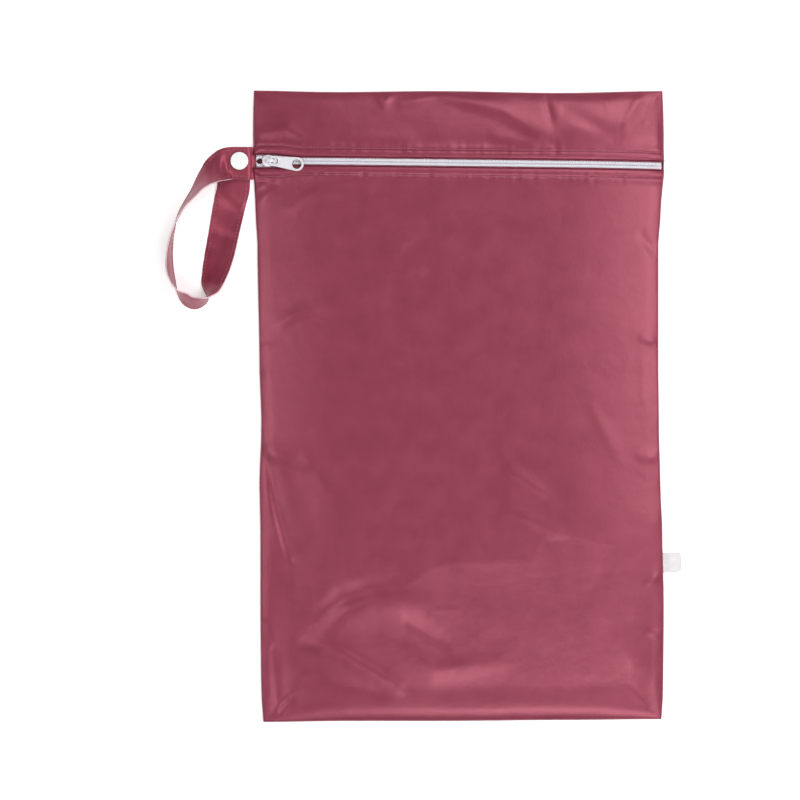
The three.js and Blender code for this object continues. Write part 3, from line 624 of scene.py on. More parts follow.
def wovenMaterial(name, finish):
    # ribbed tape or ribbon: diagonal floats over a fine plain weave
    material, tree, shader = startMaterial(name, finish["shader"])
    coords = addNode(tree, "ShaderNodeTexCoord").outputs["UV"]
    floats = slantedWave(tree, coords, finish["floatPitch"], finish["slant"])
    warp = wave(tree, coords, finish["warpPitch"], "Y")
    soil = stretchedNoise(tree, coords, 140, 4)
    colourAndGloss(tree, shader, finish, soil, floats)
    addBumps(tree, shader, [(floats, 0.5, 0.08 * mm), (warp, 0.4, 0.06 * mm), (soil, 0.2, 0.1 * mm)])
    return material


def mouldedMaterial(name, finish):
    # moulded plastic or lacquer: a faint orange peel, with slightly duller handling marks
    material, tree, shader = startMaterial(name, finish["shader"])
    coords = addNode(tree, "ShaderNodeTexCoord").outputs["Object"]
    peel = stretchedNoise(tree, coords, 900, 3)
    marks = stretchedNoise(tree, coords, 260, 6, (1, 0.4, 1))
    colourAndGloss(tree, shader, finish, marks, marks)
    addBumps(tree, shader, [(peel, 0.25, 0.04 * mm), (marks, 0.12, 0.05 * mm)])
    return material


clothFinish = {
    "shader": {"Specular IOR Level": 0.5, "Metallic": 0.3},
    "dark": (0.25, 0.033, 0.064),
    "light": (0.28, 0.04, 0.075),
    "roughness": (0.33, 0.41),
    "ribPitch": 0.5 * mm,
    "coursePitch": 0.42 * mm,
    "crumpleScale": 190,
}
bagCloth = clothMaterial("bagCloth", clothFinish)
strapCloth = clothMaterial("strapCloth", {
    **clothFinish, "shader": {"Specular IOR Level": 0.25, "Metallic": 0.34}, "crumpleScale": 260,
    "dark": (0.29, 0.046, 0.078), "light": (0.32, 0.055, 0.09),
})

cutEdge = wovenMaterial("cutEdge", {
    "shader": {"Specular IOR Level": 0.3},
    "dark": (0.66, 0.42, 0.46), "light": (0.92, 0.74, 0.77), "roughness": (0.6, 0.8),
    "slant": 60, "floatPitch": 0.5 * mm, "warpPitch": 0.3 * mm,
})
tapeWeave = wovenMaterial("tapeWeave", {
    "shader": {"Specular IOR Level": 0.35, "Sheen Weight": 0.15},
    "dark": (0.82, 0.8, 0.87), "light": (0.92, 0.9, 0.96), "roughness": (0.55, 0.75),
    "slant": 35, "floatPitch": 0.7 * mm, "warpPitch": 0.35 * mm,
})
ribbonWeave = wovenMaterial("ribbonWeave", {
    "shader": {"Specular IOR Level": 0.45, "Sheen Weight": 0.2},
    "dark": (0.7, 0.67, 0.68), "light": (0.8, 0.77, 0.78), "roughness": (0.38, 0.55),
    "slant": 60, "floatPitch": 0.45 * mm, "warpPitch": 0.28 * mm,
})
coilNylon = mouldedMaterial("coilNylon", {
    "shader": {"Specular IOR Level": 0.5, "Subsurface Weight": 0.1, "Subsurface Scale": 0.001},
    "dark": (0.86, 0.84, 0.92), "light": (0.93, 0.91, 0.97), "roughness": (0.3, 0.42),
})
sliderLacquer = mouldedMaterial("sliderLacquer", {
    "shader": {"Specular IOR Level": 0.5, "Coat Weight": 0.5, "Coat Roughness": 0.12},
    "dark": (0.71, 0.69, 0.74), "light": (0.8, 0.78, 0.83), "roughness": (0.22, 0.34),
})
snapPlastic = mouldedMaterial("snapPlastic", {
    "shader": {"Specular IOR Level": 0.5, "Coat Weight": 0.35, "Coat Roughness": 0.08},
    "dark": (0.89, 0.91, 0.9), "light": (0.94, 0.96, 0.95), "roughness": (0.16, 0.26),
})


def threadMaterial(name, dark, light):
    # twisted filament thread, its colour darker in the grooves of the twist and lighter on its crowns:
    # painted shade and painted highlight
    material, tree, shader = startMaterial(name, {"Roughness": 0.42, "Sheen Weight": 0.2})
    coords = addNode(tree, "ShaderNodeTexCoord").outputs["Object"]
    twist = slantedWave(tree, coords, 0.25 * mm, 35)
    # painted shade in the twist's grooves and painted highlight on its crowns, following the same bands as
    # the bump
    tree.links.new(tint(tree, twist, dark, light), shader.inputs["Base Color"])
    addBumps(tree, shader, [(twist, 0.6, 0.06 * mm)])
    return material


# each thread's two colours are its painted shade in the twist's grooves and its painted highlight on the
# crowns
wineThread = threadMaterial("wineThread", (0.3, 0.066, 0.1), (0.43, 0.13, 0.17))
whiteThread = threadMaterial("whiteThread", (0.84, 0.82, 0.88), (0.94, 0.92, 0.96))


print("stage: front cloth")

# Rows over the folded edge of a lip: how far in from the edge, and how far below the lip's top
lipTurn = [
    (2.6, 1.05), (1.5, 1.08), (0.7, 1.05), (0.25, 0.92),
    (0.04, 0.68), (0.0, 0.45), (0.08, 0.22), (0.3, 0.06),
]
# Rows from the folded edge to past the stitch line
lipRows = [0.6, 1.0, 1.6, 2.3, 3.1, 4.0, 4.8, 5.3, 5.7, 6.05, 6.4, 6.75, 7.1, 7.6, 8.3, 9.2, 10.3]


def panelPoint(column, y):
    # a point of the plan at a share of the way across the bag
    return Vector((mix(leftEdge(y), rightEdge(y), column), y, 0))


def frontSheet(name, side, node, hemEdge):
    # one cloth from a hem to the zip: side is -1 below the zip and 1 above it
    roll = [bagCut["rollWidth"] * (1 - math.cos(math.radians(angle))) for angle in range(0, 91, 9)]
    columns = evenShares(bagCut["width"], bagCut["columnStep"], roll)
    reach = abs(hemEdge(0) - zipY(0)) - lipOffset(0)
    stops = evenStops(reach, bagCut["rowStep"], [0.0, *[row * mm for row in lipRows]], roll)
    rows = [*range(-len(lipTurn), 0), *[stop / reach for stop in stops[1:]]]
    if side < 0:
        # the rows run downward, so the columns are turned to keep the faces up
        columns = columns[::-1]

    def place(column, row):
        guide = mix(leftEdge(0), rightEdge(0), column)
        turn = lipTurn[int(-row) - 1] if row < 0 else None
        if turn:
            y = zipY(guide) + side * (lipOffset(guide) + turn[0] * mm)
        else:
            y = mix(zipY(guide) + side * lipOffset(guide), hemEdge(guide), row)
        point = panelPoint(column, y)
        distance = abs(y - zipY(point.x)) - lipOffset(point.x)
        point.z = clothHeight(point.x, y) + lipHeight(max(distance, 0), point.x, side)
        if turn:
            point.z -= turn[1] * mm
        return point

    bm = mappedGrid(columns, rows, place, (bagCut["width"], reach))
    piece = finishPiece(name, bm, [bagCloth], [node])
    return addWall(piece, bagCut["wall"], even=False)


frontLower = frontSheet("front_cloth", -1, "front_panel", bottomEdge)
frontUpper = frontSheet("top_cloth", 1, "top_panel", topEdge)


print("stage: back cloth")


backCut = {
    "step": 2.4 * mm,
    "curl": 2.4 * bagCut["rollWidth"],  # how far in the edge turns up
    "seamGap": 0.15 * mm,
    "waves": 0.55 * mm,
    "highest": 0.8 * mm,
    "calmEdge": 18 * mm,
}


def backSheet():
    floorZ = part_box("back_panel")[0].z
    curl = [backCut["curl"] * share for share in (0, 0.05, 0.12, 0.22, 0.36, 0.55, 0.8, 1)]
    columns = evenShares(bagCut["width"], backCut["step"], curl)[::-1]
    rows = evenShares(bagCut["height"], backCut["step"], curl)

    def place(column, row):
        guide = mix(leftEdge(0), rightEdge(0), column)
        point = panelPoint(column, mix(bottomEdge(guide), topEdge(guide), row))
        side = min(point.x - leftEdge(point.y), rightEdge(point.y) - point.x)
        hem = min(point.y - bottomEdge(point.x), topEdge(point.x) - point.y)
        edge = max(min(side, hem), 0.0)
        lift = 1 - quarterRound(edge, backCut["curl"])
        broad = noise.noise(Vector((point.x * 24, point.y * 16, 7.0)))
        small = noise.noise(Vector((point.x * 60, point.y * 48, 2.0)))
        waves = backCut["waves"] * (broad + small / 3) * ease(edge / backCut["calmEdge"])
        point.z = floorZ + (bagCut["seat"] - backCut["seamGap"]) * lift + clamp(waves, 0, backCut["highest"])
        return point

    bm = mappedGrid(columns, rows, place, (bagCut["width"], bagCut["height"]))
    piece = finishPiece("back_cloth", bm, [bagCloth], ["back_panel"])
    return addWall(piece, bagCut["wall"])


backCloth = backSheet()


print("stage: stitching")

stitchCut = {"pitch": 2.1 * mm, "gap": 0.85 * mm, "thread": 0.66 * mm, "sink": 0.05 * mm}
stitchFlat = 0.75  # a stitch's height as a share of its width


def stitchPlace(start, end, up, width):
    # puts a bead of thread one unit wide between two holes
    line = end - start
    across = up.cross(line).normalized()
    lift = line.cross(across).normalized()
    turn = Matrix((line.normalized(), across, lift)).transposed().to_4x4()
    size = Matrix.Diagonal((line.length, width, width * stitchFlat, 1))
    return Matrix.Translation((start + end) / 2) @ turn @ size


def sewLine(bm, spot, length, up, cut=stitchCut):
    # stitches along a line, spot(distance) giving a point on the cloth
    bead = bmesh.new()
    turned = Matrix.Rotation(math.pi / 2, 4, "Y")
    bmesh.ops.create_uvsphere(bead, u_segments=6, v_segments=5, radius=0.5, matrix=turned)
    places = []
    for i in range(int(length / cut["pitch"])):
        start, end = i * cut["pitch"], (i + 1) * cut["pitch"] - cut["gap"]
        lift = up((start + end) / 2) if callable(up) else up
        sink = lift * cut["sink"]
        places.append(stitchPlace(spot(start) - sink, spot(end) - sink, lift, cut["thread"]))
    addCopies(bm, bead, places)


def zipSeam(name, side):
    start = leftEdge(zipY(zipLeft)) + zipCut["seamInset"]
    end = zipRight - zipCut["seamInset"]
    proud = stitchCut["thread"] / 3

    def spot(distance):
        x = start + distance
        y = zipY(x) + side * (lipOffset(x) + zipCut["lipDepth"])
        return Vector((x, y, clothHeight(x, y) + lipHeight(zipCut["lipDepth"], x, side) + proud))

    bm = bmesh.new()
    sewLine(bm, spot, end - start, Vector((0, 0, 1)))
    finishPiece(name, bm, [wineThread])


zipSeam("zip_seam_upper", 1)
zipSeam("zip_seam_lower", -1)


print("stage: zip")


def zipTape(name, side, node):
    start, end = zipLeft + zipCut["inset"], zipRight - zipCut["inset"]
    columns = [i / zipCut["tapeColumns"] for i in range(zipCut["tapeColumns"] + 1)]
    rows = [0, 0.08, 0.2, 0.4, 0.6, 0.8, 1]
    if side < 0:
        columns = columns[::-1]

    def place(column, row):
        x = mix(start, end, column)
        inner = max(coilOffset(x) - zipCut["coilWidth"] * 0.45, zipCut["coilGap"] / 2)
        y = zipY(x) + side * mix(inner, zipCut["tapeWidth"], row)
        return Vector((x, y, clothBase(x, y, bagCut["frameWall"]) - zipCut["tapeUnder"]))

    bm = mappedGrid(columns, rows, place, (end - start, zipCut["tapeWidth"]))
    piece = finishPiece(name, bm, [tapeWeave], [node])
    return addWall(piece, zipCut["tapeThickness"])


tapeUpper = zipTape("tape_upper", 1, "zip_tape_upper")
tapeLower = zipTape("tape_lower", -1, "zip_tape_lower")


coilThread = {"pitch": 2 * zipCut["pitch"], "gap": 0.05 * mm, "thread": 0.42 * mm, "sink": 0.1 * mm}


def zipCoil(name, side, node):
    # a flattened helix of monofilament, and the thread that sews it down
    start, end = zipLeft + zipCut["inset"], zipRight - zipCut["inset"]
    turns = int((end - start) / zipCut["pitch"])
    perTurn = 12
    radius = 0.5
    strand = zipCut["strand"] / 2
    turn = bmesh.new()
    ring = bmesh.ops.create_circle(turn, cap_ends=False, segments=6, radius=strand)["verts"]
    bmesh.ops.rotate(turn, verts=ring, matrix=Matrix.Rotation(math.pi / 2, 3, "X"))
    bmesh.ops.translate(turn, verts=ring, vec=(radius, 0, 0))
    bmesh.ops.rotate(turn, verts=ring, matrix=Matrix.Rotation(math.pi / 2, 3, "Y"))
    # now the ring's middle lies at (0, 0, -radius): it is spun round X and carried along X
    step = zipCut["pitch"] / perTurn
    bmesh.ops.spin(turn, geom=[*turn.verts, *turn.edges], cent=(0, 0, 0), axis=(1, 0, 0), dvec=(step, 0, 0),
                   angle=2 * math.pi, steps=perTurn, use_merge=False, use_duplicate=False)
    bm = bmesh.new()
    addCopies(bm, turn, [Matrix.Translation((i * zipCut["pitch"], 0, 0)) for i in range(turns)])
    bmesh.ops.remove_doubles(bm, verts=bm.verts, dist=1e-6)
    wide = zipCut["coilWidth"] / 2 - strand
    tall = zipCut["coilHeight"] / 2 - strand
    for vertex in bm.verts:
        ringAngle = math.atan2(vertex.co.z, vertex.co.y)
        out = math.hypot(vertex.co.y, vertex.co.z) - radius
        x = vertex.co.x + start + (0 if side > 0 else zipCut["pitch"] / 2)
        y = (wide + out) * math.cos(ringAngle)
        z = (tall + out) * math.sin(ringAngle)
        vertex.co = (x, zipY(x) + side * (coilOffset(x) + y), coilBase(x) + zipCut["coilHeight"] / 2 + z)
    bmesh.ops.holes_fill(bm, edges=[edge for edge in bm.edges if edge.is_boundary], sides=8)
    bmesh.ops.recalc_face_normals(bm, faces=bm.faces)
    finishPiece(name, bm, [coilNylon], [node])
    thread = bmesh.new()
    top = zipCut["coilHeight"] + 0.06 * mm
    for lane in (0.12, 0.52):
        def spot(distance):
            x = start + distance
            y = zipY(x) + side * (coilOffset(x) + lane * zipCut["coilWidth"] * 0.6)
            return Vector((x, y, coilBase(x) + top - 0.12 * mm * lane * 2))

        sewLine(thread, spot, end - start, Vector((0, 0, 1)), coilThread)
    finishPiece(name + "_thread", thread, [whiteThread])


zipCoil("coil_upper", 1, "zip_coil_upper")
zipCoil("coil_lower", -1, "zip_coil_lower")


print("stage: slider and pull")


def sliderFrame():
    # the slider's own axes: X along the zip, Z out of the cloth
    step = sliderCut["length"] / 2

    def point(x):
        return Vector((x, zipY(x), coilBase(x)))

    forward = (point(sliderX + step) - point(sliderX - step)).normalized()
    sideways = Vector((0, 0, 1)).cross(forward).normalized()
    up = forward.cross(sideways)
    turn = Matrix((forward, sideways, up)).transposed().to_4x4()
    return Matrix.Translation(point(sliderX)) @ turn


def sliderWidth(nose, tail, share):
    # share runs from -1 at the nose to 1 at the tail
    return mix(nose, tail, ease((share + 0.55) / 1.1))


def sliderOutline(shrink=0.0):
    # wide at the nose, where the rows part, narrower at the tail
    half = sliderCut["length"] / 2 - shrink
    nose = sliderCut["nose"] / 2 - shrink
    tail = sliderCut["tail"] / 2 - shrink
    outline = []
    for i in range(64):
        angle = 2 * math.pi * i / 64
        x = half * math.copysign(abs(math.cos(angle)) ** sliderCut["fullness"], math.cos(angle))
        y = math.copysign(abs(math.sin(angle)) ** sliderCut["fullness"], math.sin(angle))
        outline.append((x, y * sliderWidth(nose, tail, x / half)))
    return outline


def sliderShape():
    # crown, flanges, lower plate, post and bridge
    plate, gap = sliderCut["plate"], sliderCut["gap"]
    channelTop = zipCut["coilHeight"] + gap
    bm = bmesh.new()
    # domed upper plate
    crown = flatPlate("crown", [sliderOutline()], plate, sliderCut["crownRound"])
    for vertex in crown.verts:
        reach = math.hypot(vertex.co.x / sliderCut["length"], vertex.co.y / sliderCut["nose"]) * 2
        if vertex.co.z > 0:
            vertex.co.z += sliderCut["crownDome"] * (1 - clamp(reach) ** 2)
    addShape(bm, crown, (0, 0, channelTop + plate / 2))
    # flanges that close round the coil
    for side in (-1, 1):
        flange = bmesh.new()
        bmesh.ops.create_cube(flange, size=1)
        lengthwise = [edge for edge in flange.edges if abs(edge.verts[0].co.x - edge.verts[1].co.x) > 0.5]
        bmesh.ops.subdivide_edges(flange, edges=lengthwise, cuts=10)
        for vertex in flange.verts:
            x = vertex.co.x * sliderCut["length"] * sliderCut["flangeLength"]
            share = 2 * x / sliderCut["length"]
            width = sliderWidth(sliderCut["nose"], sliderCut["tail"], share) / 2 * (1 - 0.32 * share ** 2)
            y = side * (width - sliderCut["flange"] / 2) + vertex.co.y * sliderCut["flange"]
            vertex.co = (x, y, mix(sliderCut["flangeFoot"], channelTop + plate / 2, vertex.co.z + 0.5))
        bmesh.ops.bevel(flange, geom=flange.edges, offset=sliderCut["flangeRound"], affect="EDGES",
                        segments=2, profile=0.5, material=-1)
        addShape(bm, flange)
    # lower plate and post
    under = flatPlate("under", [sliderOutline(sliderCut["underInset"])], plate, sliderCut["underRound"])
    addShape(bm, under, (0, 0, -sliderCut["underDrop"]))
    post = bmesh.new()
    postRadius = zipCut["postWidth"] / 2
    bmesh.ops.create_cone(post, cap_ends=True, segments=24, radius1=postRadius, radius2=postRadius,
                          depth=channelTop + 2.2 * mm)
    addShape(bm, post, (-sliderCut["length"] * 0.36, 0, (channelTop - 1.6 * mm) / 2))
    # bridge over the pull's bar
    arch = bmesh.new()
    wall, half = sliderCut["bridgeWall"], sliderCut["bridgeLength"] / 2
    bmesh.ops.create_grid(arch, x_segments=4, y_segments=6, size=0.5)
    for vertex in arch.verts:
        corner = 1 - 0.18 * (abs(2 * vertex.co.x) ** 4) * (abs(2 * vertex.co.y) ** 4)
        across, through = vertex.co.y * sliderCut["bridgeWidth"] * corner, vertex.co.x * wall * corner
        vertex.co = (half - wall / 2 + through, across, 0)
    bmesh.ops.spin(arch, geom=[*arch.verts, *arch.edges, *arch.faces], cent=(0, 0, 0), axis=(0, -1, 0),
                   angle=math.pi, steps=28, use_merge=False, use_duplicate=False)
    height = pullBarHeight + pullCut["thickness"] / 2 + sliderCut["gap"] + wall - channelTop - plate / 2
    for vertex in arch.verts:
        share = clamp(vertex.co.z / half)
        vertex.co.z = height * (share ** 0.72 if share > 0 else 0) + channelTop + plate / 2
    bmesh.ops.recalc_face_normals(arch, faces=arch.faces)
    addShape(bm, arch)
    return bm


pullCut = {
    "length": 23.4 * mm, "thickness": 1.5 * mm, "web": 1.0 * mm, "rim": 1.0 * mm,
    "eyeWidth": 6.7 * mm, "endWidth": 9.6 * mm, "hole": 6.6 * mm,
    "slotWidth": 3.8 * mm, "slotLength": 5.2 * mm, "slotRound": 0.7, "bar": 0.72 * mm,
    "webInset": 0.1 * mm, "eyeRim": 0.75 * mm, "slotRim": 0.6 * mm, "corner": 1.6 * mm,
    "skew": 7.5, "pitch": 3.2,  # turned in plan and tipped, in degrees
}
pullBarHeight = zipCut["coilHeight"] + 2 * sliderCut["gap"] + sliderCut["plate"] + pullCut["thickness"] / 2
pullBarX = sliderCut["bridgeLength"] / 2 - sliderCut["bridgeWall"] - sliderCut["barInset"]
pullBarX -= pullCut["thickness"] / 2


def pullOutline(shrink):
    # narrow with round corners at the slider, a full round at the far end
    eye, end = pullCut["eyeWidth"] / 2 - shrink, pullCut["endWidth"] / 2 - shrink
    centre = pullCut["length"] - pullCut["endWidth"] / 2
    lean = math.degrees(math.asin((end - eye) / centre))
    corner = min(pullCut["corner"], eye)
    near = -pullCut["thickness"] / 2 + shrink
    lower = arc(near + corner, -eye + corner, corner, 180, 270, 8)
    upper = arc(near + corner, eye - corner, corner, 90, 180, 8)
    return [*lower, *arc(centre, 0, end, -90 - lean, 90 + lean, 40), *upper]


def slotOutline(grow=0.0):
    # straight beside the bar, a flattened half round at the far end
    half = pullCut["slotWidth"] / 2 + grow
    near = pullCut["bar"] - grow
    centre = pullCut["slotLength"] + grow - half * pullCut["slotRound"]
    far = [(centre + x * pullCut["slotRound"], y) for x, y in arc(0, 0, half, -90, 90, 16)]
    return [(near, -half), *far, (near, half)]


def pullShape():
    centre = pullCut["length"] - pullCut["endWidth"] / 2
    thickness = pullCut["thickness"]
    hole = arc(centre, 0, pullCut["hole"] / 2, 0, 360, 48)[:-1]
    rimHole = arc(centre, 0, pullCut["hole"] / 2 + pullCut["eyeRim"], 0, 360, 48)[:-1]
    plates = [
        ("web", [pullOutline(pullCut["webInset"]), slotOutline(), hole], pullCut["web"], 0.2 * mm),
        ("rim", [pullOutline(0), pullOutline(pullCut["rim"])], thickness, 0.3 * mm),
        ("eye", [rimHole, hole], thickness, 0.25 * mm),
        ("slot", [slotOutline(pullCut["slotRim"]), slotOutline()], thickness, 0.25 * mm),
    ]
    bm = bmesh.new()
    for plate in plates:
        addShape(bm, flatPlate(*plate))
    bar = bmesh.new()
    bmesh.ops.create_cone(bar, cap_ends=True, segments=24, radius1=pullCut["bar"], radius2=pullCut["bar"],
                          depth=pullCut["eyeWidth"] - 1.2 * mm)
    bmesh.ops.rotate(bar, verts=bar.verts, matrix=Matrix.Rotation(math.pi / 2, 3, "X"))
    addShape(bm, bar)
    return bm


def placeOnSlider(bm, turn=Matrix.Identity(4)):
    bmesh.ops.transform(bm, verts=bm.verts, matrix=sliderFrame() @ turn)
    return bm


skewed = Matrix.Rotation(math.radians(-pullCut["skew"]), 4, "Z")
tipped = Matrix.Rotation(math.radians(pullCut["pitch"]), 4, "Y")
pullPlace = Matrix.Translation((pullBarX, 0, pullBarHeight)) @ (skewed @ tipped)
slider = finishPiece("slider_body", placeOnSlider(sliderShape()), [sliderLacquer],
                     ["zip_slider"])
pull = finishPiece("pull_tab", placeOnSlider(pullShape(), pullPlace), [sliderLacquer],
                   ["zip_pull"], "pull_tab")
for piece in (slider, pull):
    piece.data.set_sharp_from_angle(angle=math.radians(40))


print("stage: strap")

capLow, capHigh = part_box("snap_cap")
snapCentre = (capLow + capHigh) / 2
strapCut = {
    "width": 22.8 * mm,
    "thickness": 0.95 * mm,
    "root": 1.5 * mm,
    "rootLift": 1.6 * mm,
    "legLift": 3.9 * mm,  # height of the leg's underside at the snap
    "endLift": 1.1 * mm,  # height of the free end's underside
    "drop": 101 * mm,
    "reach": 46.2 * mm,
    "tail": 6.8 * mm,
    "snapAbove": 1.5 * mm,
    "legFall": 18.6 * mm,
    "endFall": 22 * mm,
    "step": 1.25 * mm,
    "seamInset": 2.3 * mm,
    "gathers": 0.22 * mm,
    "unevenness": 0.6 * mm,
    "groove": 0.12 * mm,
    "frayed": 0.12 * mm,
}

# The loop past the snap: how far out and down as shares of its reach and drop, and the lean in degrees
strapStations = [
    (0.21, 0.024, 8), (0.33, 0.056, 26), (0.42, 0.094, 43), (0.51, 0.138, 57), (0.62, 0.207, 69),
    (0.85, 0.361, 80), (0.975, 0.539, 90), (1, 0.727, 97), (0.96, 0.825, 95), (0.885, 0.91, 84),
    (0.79, 0.953, 71), (0.673, 0.984, 70), (0.57, 0.982, 75), (0.44, 0.957, 90), (0.37, 0.9, 122),
    (0.33, 0.832, 139), (0.225, 0.65, 157), (0.145, 0.466, 165), (0.06, 0.282, 175), (0.01, 0.19, 180),
]


# Creases across it, in millimetres: where, how far they slant, how wide and how high
strapFolds = [
    (21, 4, 2.2, -1.1), (26, 5, 2.4, 1.0), (33, 6, 3, -0.8), (156, -3, 3.4, -0.9), (163, -4, 3.6, 1.1),
    (178, -5, 4, -0.8), (197, -3, 5, 0.8), (222, -4, 5, -0.7),
]


def curveThrough(rows):
    # smooth rows of numbers over their running length, the first three being a place
    reach = [0.0]
    for before, after in zip(rows, rows[1:]):
        reach.append(reach[-1] + (Vector(after[:3]) - Vector(before[:3])).length)

    def slope(i, k):
        before, after = max(i - 1, 0), min(i + 1, len(rows) - 1)
        return (rows[after][k] - rows[before][k]) / (reach[after] - reach[before])

    def read(distance):
        i = int(clamp(bisect.bisect_right(reach, distance) - 1, 0, len(rows) - 2))
        span = reach[i + 1] - reach[i]
        t = clamp((distance - reach[i]) / span)
        here, there = 2 * t ** 3 - 3 * t ** 2 + 1, 3 * t ** 2 - 2 * t ** 3
        leave, arrive = (t ** 3 - 2 * t ** 2 + t) * span, (t ** 3 - t ** 2) * span
        found = []
        for k in range(len(rows[0])):
            first = here * rows[i][k] + leave * slope(i, k)
            found.append(first + there * rows[i + 1][k] + arrive * slope(i + 1, k))
        return found

    return read, reach[-1]


def strapRoute():
    snapX, snapY = snapCentre.x, snapCentre.y
    middleY = snapY - strapCut["snapAbove"]
    half = strapCut["width"] / 2
    capReach = (capHigh.x - capLow.x) / 2
    seam = min(leftEdge(middleY + offset) for offset in (-half, 0, half)) - 0.3 * mm
    slopeX = mix(seam, snapX + capReach, 0.5)
    endX = min(snapX, slopeX - 0.3 * mm - half)
    rows = [
        (zipLeft + strapCut["root"], middleY, strapCut["rootLift"], 0),
        (seam, middleY, strapCut["rootLift"] + 0.15 * mm, 0),
        (slopeX, middleY, mix(strapCut["rootLift"], strapCut["legLift"], 0.55), 0),
        (snapX + capReach, middleY, strapCut["legLift"], 0),
        (snapX, middleY, strapCut["legLift"], 0),
        (snapX - capReach, middleY, strapCut["legLift"], 0),
    ]
    legFall, endFall = strapCut["legFall"], strapCut["endFall"]
    for out, down, lean in strapStations:
        reach, drop = out * strapCut["reach"], down * strapCut["drop"]
        lift = 0
        if lean < 90:
            lift = strapCut["legLift"] * ease((legFall + capReach / 2 - reach) / legFall)
        elif lean > 90:
            lift = strapCut["endLift"] * ease((endFall + 2 * capReach - drop) / endFall)
        rows.append((mix(snapX, endX, lean / 180) - reach, snapY - drop, lift, lean))
    for upward in (-capReach, 0, strapCut["tail"]):
        rows.append((endX, snapY + upward, strapCut["endLift"], 180))
    # the strap's middle, its lower edge resting where the lift says
    placed = []
    for x, y, lift, lean in rows:
        turned = math.radians(lean)
        height = half * math.sin(turned) + strapCut["thickness"] / 2 * abs(math.cos(turned))
        placed.append((x, y, lift + height, lean))
    return placed


strapRead, strapLength = curveThrough(strapRoute())


def strapSection(distance):
    # middle, direction across and face normal of the strap at a distance along it
    step = 0.5 * mm
    here = strapRead(distance)
    before, after = strapRead(max(distance - step, 0)), strapRead(min(distance + step, strapLength))
    tangent = (Vector(after[:3]) - Vector(before[:3])).normalized()
    lean = math.radians(here[3])
    level = Vector((tangent.x, tangent.y, 0)).normalized()
    across = Vector((0, 0, 1)).cross(level) * math.cos(lean) + Vector((0, 0, math.sin(lean)))
    return Vector(here[:3]), across, tangent.cross(across).normalized()


def strapPoint(share, distance):
    # share runs from -1 at one long edge to 1 at the other
    middle, across, normal = strapSection(distance)
    half = strapCut["width"] / 2
    half *= mix(0.94, 1, quarterRound(strapLength - distance, 1.5 * mm))
    seam = (half - strapCut["seamInset"]) / half
    fromSeam = abs(share) - seam
    gathers = strapCut["gathers"] * noise.noise(Vector((distance * 210, share * 2, 5)))
    gathers *= math.exp(-(fromSeam / 0.16) ** 2)
    soft = strapCut["unevenness"] * noise.noise(Vector((distance * 60, share * 1.3, 1)))
    for place, slant, width, rise in strapFolds:
        away = (distance - place * mm - share * slant * mm) / (width * mm)
        soft += rise * mm * math.exp(-away * away)
    soft *= 1 - share ** 4
    sunk = strapCut["groove"] * math.exp(-(fromSeam / 0.05) ** 2)
    frayed = strapCut["frayed"] * noise.noise(Vector((distance * 700, share * 9, 3))) * (abs(share) > 0.99)
    held = ease((distance - 2 * mm) / (20 * mm)) * ease((strapLength - distance) / (30 * mm))
    return middle + across * (share * half + frayed) + normal * (gathers - sunk + soft * held)


def strapPiece():
    count = round(strapLength / strapCut["step"])
    rows = [strapLength * i / count for i in range(count + 1)]
    inner = [-0.72 + 1.44 * i / 12 for i in range(13)]
    outer = [0.76, 0.795, 0.83, 0.88, 0.94, 0.985, 1.0]
    columns = [-x for x in reversed(outer)] + inner + outer
    bm = mappedGrid(columns, rows, strapPoint, (strapCut["width"] / 2, 1))
    bmesh.ops.reverse_faces(bm, faces=bm.faces)
    piece = finishPiece("wrist_strap", bm, [strapCloth, cutEdge], ["strap"])
    return addWall(piece, strapCut["thickness"], 0.0, 1, even=False)


strap = strapPiece()


strapStitch = {**stitchCut, "pitch": 2.6 * mm, "gap": 0.8 * mm, "thread": 0.48 * mm}


def strapSeams():
    # two seams on each face
    bm = bmesh.new()
    proud = strapCut["thickness"] / 2 + strapStitch["thread"] / 6
    seam = (strapCut["width"] / 2 - strapCut["seamInset"]) / (strapCut["width"] / 2)
    start, end = 2 * mm, strapLength - 2 * mm
    for share in (-seam, seam):
        for face in (-1, 1):
            def up(distance):
                return strapSection(start + distance)[2] * face

            def spot(distance):
                return strapPoint(share, start + distance) + up(distance) * proud

            sewLine(bm, spot, end - start, up, strapStitch)
    return finishPiece("strap_seams", bm, [wineThread])


seams = strapSeams()


print("stage: snap")

snapCut = {
    "radius": 6.2 * mm, "rim": 0.9 * mm, "dome": 0.5 * mm,
    "ring": 5.2 * mm, "stud": 2.8 * mm, "prong": 1 * mm, "bore": 1.3 * mm,
    "round": 0.42 * mm, "prongReach": 1.6 * mm, "play": 0.3 * mm,
}


def turnedPiece(name, profile, height, node):
    bm = spunShape(profile)
    bmesh.ops.translate(bm, verts=bm.verts, vec=(snapCentre.x, snapCentre.y, height))
    piece = finishPiece(name, bm, [snapPlastic], [node])
    piece.data.set_sharp_from_angle(angle=math.radians(50))


def capProfile():
    # the prong, the rounded rim, the dome and the dimple in its middle
    radius, rim, turn = snapCut["radius"], snapCut["rim"], snapCut["round"]
    prong, deep = snapCut["prong"], -snapCut["prongReach"]
    profile = [(0, deep), (prong, deep), (prong, 0)]
    for angle in range(0, 181, 20):
        turned = math.radians(angle)
        profile.append((radius - turn + turn * math.sin(turned), turn - turn * math.cos(turned)))
    for share in (0.9, 0.82, 0.72, 0.6, 0.45, 0.3):
        profile.append((radius * share, rim - 0.06 * mm + snapCut["dome"] * (1 - share ** 2.2)))
    for share, height in ((0.2, 0.4), (0.1, 0.34), (0, 0.32)):
        profile.append((radius * share, rim + height * mm))
    return profile


